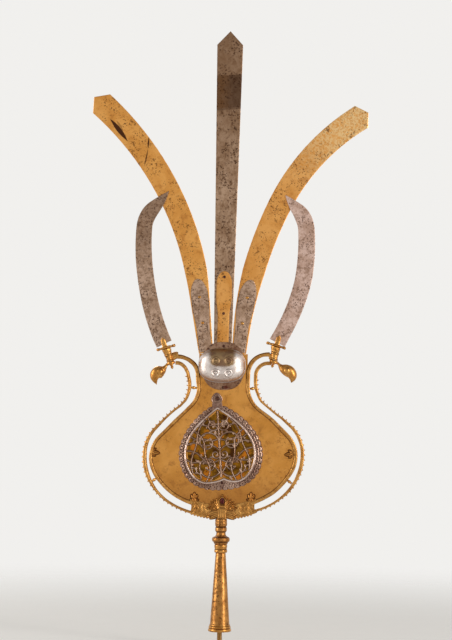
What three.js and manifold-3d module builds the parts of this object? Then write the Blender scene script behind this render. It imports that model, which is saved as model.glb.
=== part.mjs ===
// A processional standard's finial (alam), in millimetres. +Z is up, the front faces -Y, and the
// origin is the middle of the lower end of the rod that carries it.
//
// Heights in the shield and above it are counted from the shield's foot, where the ferrule ends.
//
// From the foot up: a rod with a tapered wooden spigot; a tapered socket with its foot ring, which
// lifts off the spigot; a collar, knop and ferrule threaded on an iron spindle; a pear-shaped shield
// of two gilt sheets held in a moulded rim, inside a toothed crest; a pierced steel cartouche; a
// silvered boss; three flat blades with riveted langets; and, at the ends of the two horns, a
// small sabre in a hilt with a hooked pommel.

import * as THREE from "three";
import { mergeVertices } from "three/addons/utils/BufferGeometryUtils.js";
import Module from "manifold-3d";

const wasm = await Module();
wasm.setup();

const degrees = Math.PI / 180;

// Driving sizes: thicknesses and clearances
const seam = 0.3; // clearance wherever two pieces meet
const coreHalf = 1.1; // half the thickness of the spine and the blades
const sheet = 1.2; // thickness of the shield's two sheets and of the langets
const frameHalf = 4.5; // half the depth of the rim and base band
const crestHalf = 3.5; // half the depth of the toothed crest
const sheetInner = coreHalf + seam;
const sheetOuter = sheetInner + sheet;

// Rod, spigot and socket
const rodRadius = 4.9;
const rodExposed = 33; // from the rod's lower end to the socket's mouth
const rodInSpigot = 100;
const spigotRoom = 27; // from the spigot's top up to the socket's top
const socketFootRadius = 20.2;
const socketTopRadius = 10.8;
const socketLength = 157;
const socketWall = 2.2;
const socketTopWall = 5;
const footRingHeight = 14;
const footRingWidth = 3.5; // beyond the socket
const socketMouthZ = rodExposed;
const socketTopZ = socketMouthZ + socketLength;

// Turned pieces on the spindle
const spindleRadius = 4;
const turnedBore = spindleRadius + seam;
const collarHeight = 16.5;
const collarRadius = 13.8;
const knopHeight = 18.5;
const knopRadius = 18.6;
const ferruleHeight = 32;
const ferruleRadius = 13;
const peenRadius = 7; // the spindle's end, spread under the socket's top
const peenHeight = 4.5;

// Shield: half the widths of the rim and the crest, and the gaps from one's middle to the other's
const rimHalf = { body: 4.5, waist: 5.2, hornNeck: 3.6, hornEnd: 5.4 };
const crestBand = { foot: 2.8, side: 4, horn: 4.2 };
const crestGap = { foot: 21.5, side: 11.5, waist: 16, horn: 18.3 };
const crestLower = 3; // how far the crest's widest height lies under the rim's

// The rim's and the crest's centrelines
const shoulderSlope = 45; // degrees from upright, of the straight stretch above the belly
const bellyDrop = 102.5; // from the rim's widest height to its foot
const bellyZ = crestBand.foot + crestGap.foot + bellyDrop;
const rimCentre = {
  halfWidth: 144.5, drop: bellyDrop, midZ: bellyZ, side: 0, shoulder: 55.5, waistTurn: 52.5,
  waist: 50, neck: 26, hornTurn: 38,
};
const hornRun = 3.2; // level, from the horn's turn to its end
const crestHornRun = 1.2;
const hornEndX = rimCentre.waist + rimCentre.hornTurn + hornRun;
const hornZ = waistHeight(rimCentre) + rimCentre.neck + rimCentre.hornTurn;
const crestBelly = {
  halfWidth: rimCentre.halfWidth + crestGap.side, drop: bellyDrop + crestGap.foot - crestLower,
  midZ: bellyZ - crestLower, side: 6.6, shoulder: 74, waistTurn: 50, waist: rimCentre.waist + crestGap.waist,
};
const crestHornTurn = hornEndX - crestBelly.waist - crestHornRun;
const crestHornZ = hornZ - crestGap.horn;
const crestNeck = crestHornZ - waistHeight(crestBelly) - crestHornTurn;
const crestCentre = { ...crestBelly, neck: crestNeck, hornTurn: crestHornTurn };
const hornOverlap = 1.5; // how far the rim's horn runs into the saddle that is cast with it
const toothPitch = 9.4;
const toothHeight = 2.9;
const toothLean = 0.3; // how far a tooth's tip leans down the crest, as a share of its pitch
const baseBandHalf = 66;
const sheetBite = 3; // how far the sheets reach into the rim's groove
const bridgeWidth = 5;
const bridgeLength = 26; // before it is cut off at the crest
const bridgeZ = [bellyZ - 47, waistHeight(rimCentre) - 5.7];
const neckTopZ = hornZ;

// Spine: a flat iron bar between the sheets, drawn out to the round spindle
const spineHalfWidth = 16;
const spineFootZ = 8;
const spineTopGap = 5; // under the tangs

// Cartouche
const cartouche = { x: -3.5, z: bellyZ + 7, tilt: 4 };
const opening = { halfWidth: 66, apex: 83, lobe: 57, lobeX: 28, cusp: 46 };
const borderWidth = { side: 15, top: 9, foot: 17 }; // outside the opening
const border = {
  halfWidth: opening.halfWidth + borderWidth.side, apex: opening.apex + borderWidth.top,
  foot: opening.lobe + borderWidth.foot, thickness: 2,
};
const scallops = { count: 40, height: 2.6 };
const loopRadius = 9.5;
const loopHeight = border.apex + 15; // the loop's middle, above the cartouche's middle
const loopNeckHalf = 7;
const footRivetDrop = opening.cusp + 16;
const backingThickness = 0.8;
const traceryThickness = 1;
const traceryStrip = 1.3; // half the width of the tracery's strips
const traceryRim = 2.4;
const budRadius = 3.1;
const leafLength = 13;
const leafWidth = 7;
const leafLean = 35; // degrees from straight out, the way the scroll runs
const bezelHalf = 2.5;
const bezelRise = 2.4;

// Boss
const boss = {
  x: -2.5, z: hornZ - 23.2, halfWidth: 47.5, halfHeight: 34.5, depth: 25, flange: 2.6, shell: 1.4,
};
const bossFullness = 0.8; // the exponent of the dome's rounding; 1 is an ellipse and less is fuller
const seatGap = 2.8; // to the rim's waist, on each side
const seatPlate = { z: boss.z - 1, halfWidth: rimCentre.waist - rimHalf.waist - seatGap, halfHeight: 48 };
const squareness = 2.5; // the exponent of the boss's and its seat's outline; 2 is an ellipse
const roundels = [
  [12.3, 9.5],
  [13.4, -15.5],
]; // x and height from the boss's middle; each is made on both sides
const roundelRadius = 8.2;

// Blades
const bladeRootZ = neckTopZ + 1.8;
const sideHalf = { root: 14.4, body: 22.4, bodyAt: 165, tip: 25.6 };
const centreBlade = { rootX: -2, lean: 0.6, length: 616, rootHalf: 17.8, tipHalf: 26, tip: 27.5 };
const rootGap = { left: 1, right: 0.6 }; // from the centre blade's root to each side blade's
const rootSpan = centreBlade.rootHalf + sideHalf.root;
const sideBlades = {
  left: {
    rootX: rootSpan + rootGap.left - centreBlade.rootX, lean: 7.3, straight: 122,
    bends: [{ radius: 585, turnDeg: 18 }, { radius: 614, turnDeg: 23.3 }], tip: 20,
  },
  right: {
    rootX: rootSpan + rootGap.right + centreBlade.rootX, lean: 5.4, straight: 32,
    bends: [{ radius: 775, turnDeg: 20.4 }, { radius: 436, turnDeg: 32.2 }], tip: 16,
  },
}; // each is forged with its own bends
const tangHalf = 9.5;
const tangLength = 45;
const tangGap = 3.3; // from a side blade's tang to the rim's waist
const sideTangX = rimCentre.waist - rimHalf.waist - tangGap - tangHalf;
const spineTopZ = bladeRootZ - tangLength - spineTopGap;
const bladeBevel = 3;

// Langets, given along the blade from its root
const centreLanget = { length: 142, rootHalf: 11, swellHalf: 15.6, tip: 22, waistAt: 80 };
const sideLanget = { length: 118, rootHalf: 12.6, swellHalf: 17.4, tip: 31, waistAt: 55 };
const langetRivetsAt = { centre: [79, 152], side: [60, 112] };
const langetFoot = 2;

// Rivets
const rivetRadius = 1.6;
const rivetHead = 2.9;
const rivetRise = 1.2;

// Horn ends, hilts, sabres
const hornSaddle = { foot: hornZ - 22.8, height: 28.6, half: 5.2, reach: 4.5 };
const sabreY = -sheetOuter - seam - coreHalf; // the sabres pass in front of the langets
const hilt = { x: hornEndX + 11.4, y: sabreY, z: hornZ - 17.2, lean: 16.5 };
const grip = { footRadius: 7.6, waistRadius: 7, topRadius: 9.6 };
const guard = { z: 33.5, halfLength: 18, half: 3.1, depth: 6.2, ball: 3.3 };
const hiltLanget = { halfWidth: 5.4, height: 22, thickness: 1.5 };
const sabre = {
  across: 1.5, base: 38.4, lean: 10.4, radius: 444, turnDeg: 30.8, halfWidth: 17.3, tipRadius: 60,
  tipTurnDeg: 42, tip: 43, tangHalf: 4.5, tang: 14,
};
const sabreTaper = 0.75;
const pommelCap = { radius: 8.6, half: 3.6 };
const pommelNub = { radius: 3.4, length: 9 };
const budSwing = { left: -3, right: 9 }; // degrees that each bud is bent up about its cap

// Ornament
const palmette = { thickness: 4.2, leaf: 3.2 };
const stone = { z: bellyZ - bellyDrop + 13, halfWidth: 3.9, halfHeight: 7.6, depth: 1.6, thickness: 1.5 };
const clipThickness = 2.6;

const through = 40; // half the depth of a cutter that goes right through the shield
const beyond = 400; // further out than any edge of the shield

// Solids

function solidOf(geometry) {
  const bare = geometry.index ? geometry.toNonIndexed() : geometry.clone();
  bare.deleteAttribute("normal");
  bare.deleteAttribute("uv");
  const merged = mergeVertices(bare, 1e-4);
  const mesh = new wasm.Mesh({
    numProp: 3,
    vertProperties: merged.attributes.position.array,
    triVerts: new Uint32Array(merged.index.array),
  });
  return new wasm.Manifold(mesh);
}

function geometryOf(solid) {
  const mesh = solid.getMesh();
  const geometry = new THREE.BufferGeometry();
  geometry.setAttribute("position", new THREE.BufferAttribute(mesh.vertProperties, 3));
  geometry.setIndex(new THREE.BufferAttribute(mesh.triVerts, 1));
  return geometry;
}

// Turns a closed surface's faces outwards if they point in.
function facingOut(geometry) {
  const flat = geometry.index ? geometry.toNonIndexed() : geometry;
  const p = flat.attributes.position;
  const [a, b, c] = [new THREE.Vector3(), new THREE.Vector3(), new THREE.Vector3()];
  let volume = 0;
  for (let i = 0; i < p.count; i += 3) {
    a.fromBufferAttribute(p, i);
    b.fromBufferAttribute(p, i + 1);
    c.fromBufferAttribute(p, i + 2);
    volume += a.dot(b.cross(c));
  }
  if (volume < 0) {
    for (let i = 0; i < p.count; i += 3) {
      a.fromBufferAttribute(p, i + 1);
      b.fromBufferAttribute(p, i + 2);
      p.setXYZ(i + 1, b.x, b.y, b.z);
      p.setXYZ(i + 2, a.x, a.y, a.z);
    }
  }
  return flat;
}

const union = (first, ...rest) => rest.reduce((sum, solid) => sum.add(solid), first);
const cut = (first, ...rest) => rest.reduce((left, solid) => left.subtract(solid), first);

// A flat shape drawn in X and Z, from one Y to another.
function slab(shape, yFrom, yTo) {
  const geometry = new THREE.ExtrudeGeometry(shape, { depth: Math.abs(yTo - yFrom), bevelEnabled: false });
  geometry.rotateX(Math.PI / 2);
  geometry.translate(0, Math.max(yFrom, yTo), 0);
  return solidOf(geometry);
}

const shapeOf = (points) => new THREE.Shape(points.map((p) => new THREE.Vector2(p.x, p.y)));
const polygon = (pairs) => shapeOf(pairs.map(([x, y]) => new THREE.Vector2(x, y)));

function boxSolid(x0, x1, y0, y1, z0, z1) {
  const geometry = new THREE.BoxGeometry(x1 - x0, y1 - y0, z1 - z0);
  geometry.translate((x0 + x1) / 2, (y0 + y1) / 2, (z0 + z1) / 2);
  return solidOf(geometry);
}

// A round peg along Y at x, z.
function peg(radius, x, z, yFrom, yTo, sides = 12) {
  const geometry = new THREE.CylinderGeometry(radius, radius, Math.abs(yTo - yFrom), sides);
  geometry.translate(x, (yFrom + yTo) / 2, z);
  return solidOf(geometry);
}

// A turned solid about the Z axis, from its closed profile of [radius, z].
function turned(profile, segments = 18) {
  const points = profile.map(([r, z]) => new THREE.Vector2(r, z));
  points.push(points[0].clone());
  const geometry = new THREE.LatheGeometry(points, segments);
  geometry.rotateX(Math.PI / 2);
  return solidOf(facingOut(geometry));
}

// A solid through rings of points, all of one count, with a flat cap at each end, or closed in a loop.
function loft(rings, section, closed = false) {
  const sides = section.length;
  const positions = [];
  const corner = (ring, i) => rings[ring % rings.length][i % sides];
  const put = (...points) => points.forEach((p) => positions.push(p.x, p.y, p.z));
  const bands = closed ? rings.length : rings.length - 1;
  for (let r = 0; r < bands; r++) {
    for (let i = 0; i < sides; i++) {
      put(corner(r, i), corner(r, i + 1), corner(r + 1, i + 1));
      put(corner(r, i), corner(r + 1, i + 1), corner(r + 1, i));
    }
  }
  if (!closed) {
    for (const [i, j, k] of THREE.ShapeUtils.triangulateShape(section, [])) {
      put(corner(0, i), corner(0, k), corner(0, j));
      put(corner(rings.length - 1, i), corner(rings.length - 1, j), corner(rings.length - 1, k));
    }
  }
  const geometry = new THREE.BufferGeometry();
  geometry.setAttribute("position", new THREE.Float32BufferAttribute(positions, 3));
  return solidOf(facingOut(geometry));
}

// Lines in the XZ plane

// A line of straight stretches and arcs. Headings are in degrees from +X, and a left turn is positive.
class Trail {
  constructor(x, z, heading, step = 13) {
    Object.assign(this, { x, z, heading, step, points: [new THREE.Vector2(x, z)] });
  }
  line(length) {
    this.x += length * Math.cos(this.heading * degrees);
    this.z += length * Math.sin(this.heading * degrees);
    if (Math.abs(length) > 0.01) this.points.push(new THREE.Vector2(this.x, this.z));
    return this;
  }
  arc(radius, turn) {
    const side = Math.sign(turn);
    const centreX = this.x - side * radius * Math.sin(this.heading * degrees);
    const centreZ = this.z + side * radius * Math.cos(this.heading * degrees);
    const parts = Math.max(3, Math.ceil((radius * Math.abs(turn) * degrees) / this.step));
    for (let i = 1; i <= parts; i++) {
      const angle = (this.heading + (turn * i) / parts) * degrees;
      this.x = centreX + side * radius * Math.sin(angle);
      this.z = centreZ - side * radius * Math.cos(angle);
      this.points.push(new THREE.Vector2(this.x, this.z));
    }
    this.heading += turn;
    return this;
  }
}

// The unit normal to the left of a line at each point.
function leftNormals(points, closed = false) {
  const n = points.length;
  return points.map((p, i) => {
    const before = points[closed ? (i + n - 1) % n : Math.max(0, i - 1)];
    const after = points[closed ? (i + 1) % n : Math.min(n - 1, i + 1)];
    const along = after.clone().sub(before).normalize();
    return new THREE.Vector2(-along.y, along.x);
  });
}

// A line moved to its left by a distance, which may differ from point to point.
function offset(points, distance, closed = false) {
  const by = typeof distance === "function" ? distance : () => distance;
  const normals = leftNormals(points, closed);
  return points.map((p, i) => p.clone().addScaledVector(normals[i], by(i)));
}

// The area between two offsets of a line.
function ribbon(points, rightBy, leftBy) {
  const right = offset(points, typeof rightBy === "function" ? (i) => -rightBy(i) : -rightBy);
  return shapeOf([...right, ...offset(points, leftBy).reverse()]);
}

const mirrored = (points) => points.map((p) => new THREE.Vector2(-p.x, p.y)).reverse();

// How far along a line each point is, from 0 to its length.
function lengthsAlong(points) {
  let sum = 0;
  return points.map((p, i) => (sum += i ? p.distanceTo(points[i - 1]) : 0));
}

// A section of [left, y] pairs carried along a line. scale gives its width at each point.
function carried(points, section, scale = () => 1, closed = false) {
  const normals = leftNormals(points, closed);
  const rings = points.map((p, i) =>
    section.map(([left, y]) => {
      const q = p.clone().addScaledVector(normals[i], left * scale(i));
      return new THREE.Vector3(q.x, y, q.y);
    }),
  );
  return loft(rings, section.map(([left, y]) => new THREE.Vector2(left, y)), closed);
}

// The height where an outline reaches its waist
function waistHeight({ halfWidth, midZ, side, shoulder, waistTurn, waist }) {
  const slope = shoulderSlope * degrees;
  const turns = shoulder + waistTurn;
  const straight = halfWidth - waist - turns * (1 - Math.cos(slope));
  return midZ + side + turns * Math.sin(slope) + straight / Math.tan(slope);
}

// The shield's outlines. Each half runs from the foot, round the belly and up the waist.

function halfOutline(centre, footAngle) {
  const belly = [];
  const parts = 12;
  for (let i = 0; i <= parts; i++) {
    const angle = (footAngle + ((90 - footAngle) * i) / parts) * degrees;
    belly.push(
      new THREE.Vector2(centre.halfWidth * Math.sin(angle), centre.midZ - centre.drop * Math.cos(angle)),
    );
  }
  const { shoulder, waistTurn } = centre;
  const drawnIn = (shoulder + waistTurn) * (1 - Math.cos(shoulderSlope * degrees));
  const diagonal = (centre.halfWidth - centre.waist - drawnIn) / Math.sin(shoulderSlope * degrees);
  const upper = new Trail(centre.halfWidth, centre.midZ, 90)
    .line(centre.side)
    .arc(shoulder, shoulderSlope)
    .line(diagonal)
    .arc(waistTurn, -shoulderSlope);
  return { points: [...belly, ...upper.points.slice(1)], upper };
}

// With its horn: the line goes on up the waist and turns out to the horn's end.
function hornedOutline(centre, endX) {
  const { points, upper } = halfOutline(centre, hornedFromAngle);
  const start = upper.points.length;
  upper.line(centre.neck).arc(centre.hornTurn, -90);
  upper.line(endX - upper.x);
  return [...points, ...upper.points.slice(start)];
}

const hornedFromAngle = 18; // degrees round the belly from its foot, inside the base band
const rimLine = hornedOutline(rimCentre, hornEndX + seam + hornOverlap);
const crestLine = hornedOutline(crestCentre, hornEndX);

// The value at s between [s, value] stops, and the end stops' values past them
function between(stops, s) {
  const next = stops.findIndex(([at]) => at >= s);
  if (next <= 0) return stops[next === 0 ? 0 : stops.length - 1][1];
  const [[s0, v0], [s1, v1]] = [stops[next - 1], stops[next]];
  return v0 + ((v1 - v0) * (s - s0)) / (s1 - s0);
}

// A width that changes from one named value to the next between heights on a line.
function widthAlong(points, stops) {
  const at = lengthsAlong(points);
  const keys = stops.map(([test, width]) => [at[Math.max(0, points.findIndex(test))], width]);
  return (i) => between(keys, at[i]);
}

const atEnd = (points) => (p) => p === points[points.length - 1];
const rimWidth = widthAlong(rimLine, [
  [(p) => p === rimLine[0], rimHalf.body],
  [(p) => p.y > rimCentre.midZ, rimHalf.body],
  [(p) => p.y > waistHeight(rimCentre) - 0.1, rimHalf.waist],
  [(p) => p.y > hornZ - rimCentre.hornTurn * 0.3, rimHalf.hornNeck],
  [atEnd(rimLine), rimHalf.hornEnd],
]);
const crestWidth = widthAlong(crestLine, [
  [(p) => p === crestLine[0], crestBand.foot],
  [(p) => p.y > crestCentre.midZ - 1, crestBand.side],
  [atEnd(crestLine), crestBand.horn],
]);

// The sheets' edge, a little inside the rim's middle, closed over the neck
function sheetOutline(grow = 0) {
  const { points } = halfOutline(rimCentre, 0);
  const right = offset(points, rimHalf.body - sheetBite - grow);
  right[0].x = 0;
  const neck = new THREE.Vector2(right[right.length - 1].x, neckTopZ + grow);
  return shapeOf([...right, neck, ...mirrored([...right.slice(1), neck])]);
}

// Cartouche outlines, in its own frame

function curveHalf(start, curves, divisions) {
  const path = new THREE.Path().moveTo(...start);
  curves.forEach((c) => path.bezierCurveTo(...c));
  return path.getPoints(divisions);
}

// The pear-shaped opening, pointed above and cusped below; grow moves its edge outwards.
function openingPoints(grow = 0, divisions = 8) {
  const { halfWidth, apex, lobe, lobeX, cusp } = opening;
  const half = curveHalf(
    [0, apex],
    [
      [halfWidth / 3, apex * 0.8, halfWidth, apex / 2, halfWidth, 0],
      [halfWidth, -lobe * 0.56, lobeX + 20, -lobe, lobeX, -lobe],
      [lobeX / 2, -lobe, lobeX / 6, -cusp - 6, 0, -cusp],
    ],
    divisions,
  );
  const all = [...half, ...half.slice(1, -1).map((p) => new THREE.Vector2(-p.x, p.y)).reverse()];
  return offset(all, grow, true);
}

function borderHalf(divisions = 14) {
  const { halfWidth, apex, foot } = border;
  return curveHalf(
    [0, apex],
    [
      [halfWidth * 0.42, apex * 0.87, halfWidth, apex * 0.52, halfWidth, 0],
      [halfWidth, -foot * 0.68, halfWidth * 0.64, -foot - 2, 0, -foot],
    ],
    divisions,
  );
}

// Points spaced evenly along a closed line.
function evenly(points, count) {
  const curve = [...points, points[0]];
  const at = lengthsAlong(curve);
  const total = at[at.length - 1];
  return Array.from({ length: count }, (_, i) => {
    const s = (total * i) / count;
    const next = at.findIndex((a) => a > s);
    const share = (s - at[next - 1]) / (at[next] - at[next - 1]);
    return curve[next - 1].clone().lerp(curve[next], share);
  });
}

// Fastenings

// A rivet along Y at x, z. yFrom and yTo are the faces that it clamps.
function rivet(x, z, yFrom, yTo) {
  const low = Math.min(yFrom, yTo) - seam;
  const high = Math.max(yFrom, yTo) + seam;
  const profile = [
    [0, low - rivetRise], [rivetHead, low], [rivetRadius, low], [rivetRadius, high], [rivetHead, high],
    [0, high + rivetRise],
  ];
  const points = profile.map(([r, y]) => new THREE.Vector2(r, y));
  const geometry = new THREE.LatheGeometry(points, 8);
  geometry.translate(x, 0, z);
  return solidOf(facingOut(geometry));
}

const rivetHole = (x, z) => peg(rivetRadius + seam, x, z, -through, through, 8);

// Rod, spigot, socket and the turned pieces

const socketRadius = (z) => {
  const share = (z - socketMouthZ - footRingHeight) / (socketLength - footRingHeight);
  return socketFootRadius + (socketTopRadius - socketFootRadius) * Math.max(0, share);
};
const boreRadius = (z) => socketRadius(z) - socketWall;

function mountingRod() {
  const top = rodExposed + rodInSpigot;
  return turned([[0, 0], [rodRadius, 0], [rodRadius, top - 1], [rodRadius - 1, top], [0, top]]);
}

function spigot() {
  const foot = socketMouthZ + 2;
  const top = socketTopZ - spigotRoom;
  const rodTop = rodExposed + rodInSpigot + seam;
  const hole = rodRadius + seam;
  const knee = socketMouthZ + footRingHeight;
  return turned([
    [0, rodTop], [hole, rodTop], [hole, foot], [boreRadius(foot) - seam, foot],
    [boreRadius(knee) - seam, knee], [boreRadius(top) - seam, top], [0, top],
  ]);
}

function socket() {
  const knee = socketMouthZ + footRingHeight;
  const ceiling = socketTopZ - socketTopWall;
  return turned([
    [boreRadius(socketMouthZ), socketMouthZ], [socketFootRadius, socketMouthZ], [socketFootRadius, knee],
    [socketTopRadius, socketTopZ], [turnedBore, socketTopZ], [turnedBore, ceiling],
    [boreRadius(ceiling), ceiling], [boreRadius(knee), knee],
  ]);
}

function footRing() {
  const inner = socketFootRadius + seam;
  const z = socketMouthZ;
  const h = footRingHeight;
  const r = socketFootRadius + footRingWidth;
  return turned([
    [inner, z], [r - 1.2, z], [r, z + h * 0.16], [r, z + h * 0.42], [r - 1.1, z + h * 0.56],
    [r - 0.9, z + h * 0.78], [r - 2.2, z + h], [inner, z + h],
  ]);
}

const collarZ = socketTopZ + seam;
const knopZ = collarZ + collarHeight + seam;
const ferruleZ = knopZ + knopHeight + seam;
const shieldFootZ = ferruleZ + ferruleHeight + seam;

function socketCollar() {
  const [z, h, r] = [collarZ, collarHeight, collarRadius];
  return turned([
    [turnedBore, z], [r - 3.2, z], [r - 3.2, z + h * 0.12], [r, z + h * 0.2], [r - 0.5, z + h * 0.55],
    [r, z + h * 0.85], [r - 1.4, z + h], [turnedBore, z + h],
  ]);
}

function knop() {
  const [z, h, r] = [knopZ, knopHeight, knopRadius];
  return turned([
    [turnedBore, z], [r * 0.7, z], [r * 0.8, z + h * 0.2], [r * 0.97, z + h * 0.4], [r, z + h * 0.55],
    [r * 0.94, z + h * 0.72], [r * 0.75, z + h * 0.92], [r * 0.68, z + h], [turnedBore, z + h],
  ]);
}

function ferrule() {
  const [z, h, r] = [ferruleZ, ferruleHeight, ferruleRadius];
  return turned([
    [turnedBore, z], [r * 0.96, z], [r * 0.84, z + h * 0.2], [r * 0.84, z + h * 0.26],
    [r * 0.98, z + h * 0.32], [r * 0.98, z + h * 0.5], [r * 0.82, z + h * 0.56], [r * 0.82, z + h * 0.6],
    [r, z + h * 0.68], [r * 0.92, z + h], [turnedBore, z + h],
  ]);
}

function spine() {
  const peenTop = socketTopZ - socketTopWall - seam - shieldFootZ;
  const bar = boxSolid(-spineHalfWidth, spineHalfWidth, -coreHalf, coreHalf, spineFootZ, spineTopZ);
  const peenFoot = peenTop - peenHeight;
  const drawnOut = spineFootZ + 3;
  const spindle = turned([
    [0, peenFoot], [peenRadius * 0.7, peenFoot], [peenRadius, peenTop - peenHeight * 0.5],
    [peenRadius, peenTop], [spindleRadius, peenTop], [spindleRadius, spineFootZ], [coreHalf, drawnOut],
    [0, drawnOut],
  ]);
  const holes = [skirtRivetAt, ...cartoucheRivetsAt].map(([x, z]) => rivetHole(x, z));
  return cut(union(bar, spindle), ...holes);
}

// The shield

const skirtRivetAt = [0, seatPlate.z - seatPlate.halfHeight + 5];
const crownRivetAt = [0, bladeRootZ + 13.8];
const tangRivetZ = bladeRootZ - 28;

// A point of the cartouche's frame in the finial's frame.
function cartouchePoint(u, v) {
  const [c, s] = [Math.cos(cartouche.tilt * degrees), Math.sin(cartouche.tilt * degrees)];
  return [cartouche.x + u * c - v * s, cartouche.z + u * s + v * c];
}

const cartoucheRivetsAt = [cartouchePoint(0, loopHeight), cartouchePoint(0, -footRivetDrop)];
const tangRivetsAt = [-sideTangX, centreBlade.rootX, sideTangX].map((x) => [x, tangRivetZ]);

function shieldSheet(front) {
  const y = front ? [-sheetInner, -sheetOuter] : [sheetInner, sheetOuter];
  const holes = [skirtRivetAt, ...cartoucheRivetsAt, ...tangRivetsAt].map(([x, z]) => rivetHole(x, z));
  return cut(slab(sheetOutline(), ...y), ...holes);
}

const sheetGroove = () => slab(sheetOutline(seam), sheetOuter + seam, -sheetOuter - seam);
const belowFoot = -60; // lower than any edge of the shield
const rightOfBase = () =>
  boxSolid(-beyond, baseBandHalf + seam, -through, through, belowFoot, rimCentre.midZ);

// The rim's moulding: a ridge between two fillets, front and back.
function rim() {
  const section = [
    [-1, -frameHalf + 1.4], [-0.2, -frameHalf], [0.45, -frameHalf + 0.9], [1, -frameHalf + 0.6],
    [1, frameHalf - 0.6], [0.45, frameHalf - 0.9], [-0.2, frameHalf], [-1, frameHalf - 1.4],
  ];
  const band = carried(rimLine, section, rimWidth);
  const crestInside = offset(crestLine, (i) => crestWidth(i) + seam);
  const onAxis = [crestInside.at(-1), crestInside[0]].map((p) => new THREE.Vector2(0, p.y));
  const room = slab(shapeOf([...crestInside, ...onAxis]), -crestHalf, crestHalf);
  const normals = leftNormals(rimLine);
  const bars = bridgeZ.map((z) => {
    const i = rimLine.findIndex((p) => p.y > z && p.x > rimCentre.waist - 5);
    const [p, n] = [rimLine[i], normals[i]];
    const bar = new THREE.BoxGeometry(bridgeLength, 2 * crestHalf, bridgeWidth);
    bar.rotateY(-Math.atan2(-n.y, -n.x));
    bar.translate(p.x - (n.x * bridgeLength) / 2, 0, p.y - (n.y * bridgeLength) / 2);
    return solidOf(bar).intersect(room);
  });
  return cut(union(band, hornSaddleSolid(), ...bars), sheetGroove(), rightOfBase());
}

// The block at the rim's horn end, hollowed to hold the hilt's side.
function hornSaddleSolid() {
  const { foot, height, half, reach } = hornSaddle;
  const axisX = (z) => hilt.x + (z - hilt.z) * Math.tan(hilt.lean * degrees) - reach;
  const from = hornEndX + seam;
  const top = foot + height;
  const outline = [[from, foot], [axisX(foot), foot], [axisX(top), top], [from, top]];
  const block = slab(polygon(outline), -half, half);
  const held = union(gripSolid(seam), pommelCapSolid(seam)).rotate([0, hilt.lean, 0]);
  return cut(block, held.translate([hilt.x, hilt.y, hilt.z]));
}

// The crest, with its row of leaning teeth on the outside up to the horn.
function crest() {
  const at = lengthsAlong(crestLine);
  const turnZ = crestHornZ - crestCentre.hornTurn;
  const hornAt = at[crestLine.findIndex((p) => p.y > turnZ - 0.1 && p.x < crestCentre.waist + 2)];
  const curve = (s) => {
    const i = Math.max(1, at.findIndex((a) => a >= s));
    return { i, share: (s - at[i - 1]) / (at[i] - at[i - 1]) };
  };
  const normals = leftNormals(crestLine);
  const outside = (s, extra) => {
    const { i, share } = curve(s);
    const p = crestLine[i - 1].clone().lerp(crestLine[i], share);
    const n = normals[i - 1].clone().lerp(normals[i], share).normalize();
    const width = crestWidth(i - 1) + (crestWidth(i) - crestWidth(i - 1)) * share;
    return p.addScaledVector(n, -(width + extra));
  };
  const count = Math.floor(hornAt / toothPitch);
  const outer = [];
  for (let k = 0; k < count; k++) {
    outer.push(outside(k * toothPitch + 0.01, 0));
    outer.push(outside((k + 0.5 - toothLean) * toothPitch, toothHeight));
    outer.push(outside((k + 0.72) * toothPitch, toothHeight * 0.45));
  }
  const tail = offset(crestLine, (i) => -crestWidth(i)).filter((p, i) => at[i] > count * toothPitch);
  const inner = offset(crestLine, crestWidth).reverse();
  return cut(slab(shapeOf([...outer, ...tail, ...inner]), -crestHalf, crestHalf), rightOfBase());
}

// The solid stretch under the palmette, which joins the rims and crests of both sides.
function baseBand() {
  const inner = offset(halfOutline(rimCentre, 0).points, rimHalf.body);
  const outer = offset(halfOutline(crestCentre, 0).points, -crestBand.foot);
  const half = (line) => line.filter((p) => p.x < baseBandHalf + 30 && p.y < rimCentre.midZ);
  const low = half(outer);
  low[0].x = 0;
  const high = half(inner);
  high[0].x = 0;
  const right = [...low, ...[...high].reverse()];
  const left = mirrored([...high].reverse());
  const whole = shapeOf([...mirrored(low).slice(0, -1), ...right.slice(0, -1), ...left]);
  const ends = [-1, 1].map((side) => {
    const edge = [side * baseBandHalf, side * beyond].sort((a, b) => a - b);
    return boxSolid(edge[0], edge[1], -through, through, belowFoot, rimCentre.midZ);
  });
  const room = spineHalfWidth + seam;
  const drawnOut = spineFootZ + 3 + 1;
  return cut(
    slab(whole, -frameHalf, frameHalf),
    ...ends,
    sheetGroove(),
    boxSolid(-room, room, -sheetInner, sheetInner, spineFootZ - seam, rimCentre.midZ),
    turned([[0, belowFoot], [turnedBore, belowFoot], [turnedBore, drawnOut], [0, drawnOut]]),
  );
}

// Cartouche

function cartoucheBorder() {
  const half = borderHalf();
  const outline = [...half, ...half.slice(1, -1).map((p) => new THREE.Vector2(-p.x, p.y)).reverse()];
  const even = evenly(outline, scallops.count * 2);
  const edge = offset(even, (i) => scallops.height * (i % 2), true);
  const shape = shapeOf(edge);
  const from = -sheetOuter - seam;
  const to = from - border.thickness;
  const loop = peg(loopRadius, 0, loopHeight, from, to, 16);
  const [w, foot] = [loopNeckHalf, opening.apex + 1];
  const neck = slab(polygon([[-w, foot], [w, foot], [w, loopHeight], [-w, loopHeight]]), from, to);
  const window = slab(shapeOf(openingPoints()), -through, through);
  const holes = [rivetHole(0, loopHeight), rivetHole(0, -footRivetDrop)];
  return cut(union(slab(shape, from, to), loop, neck), window, ...holes);
}

const backingFront = -sheetOuter - seam - backingThickness;

function cartoucheBacking() {
  return slab(shapeOf(openingPoints(-seam)), -sheetOuter - seam, backingFront);
}

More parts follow.
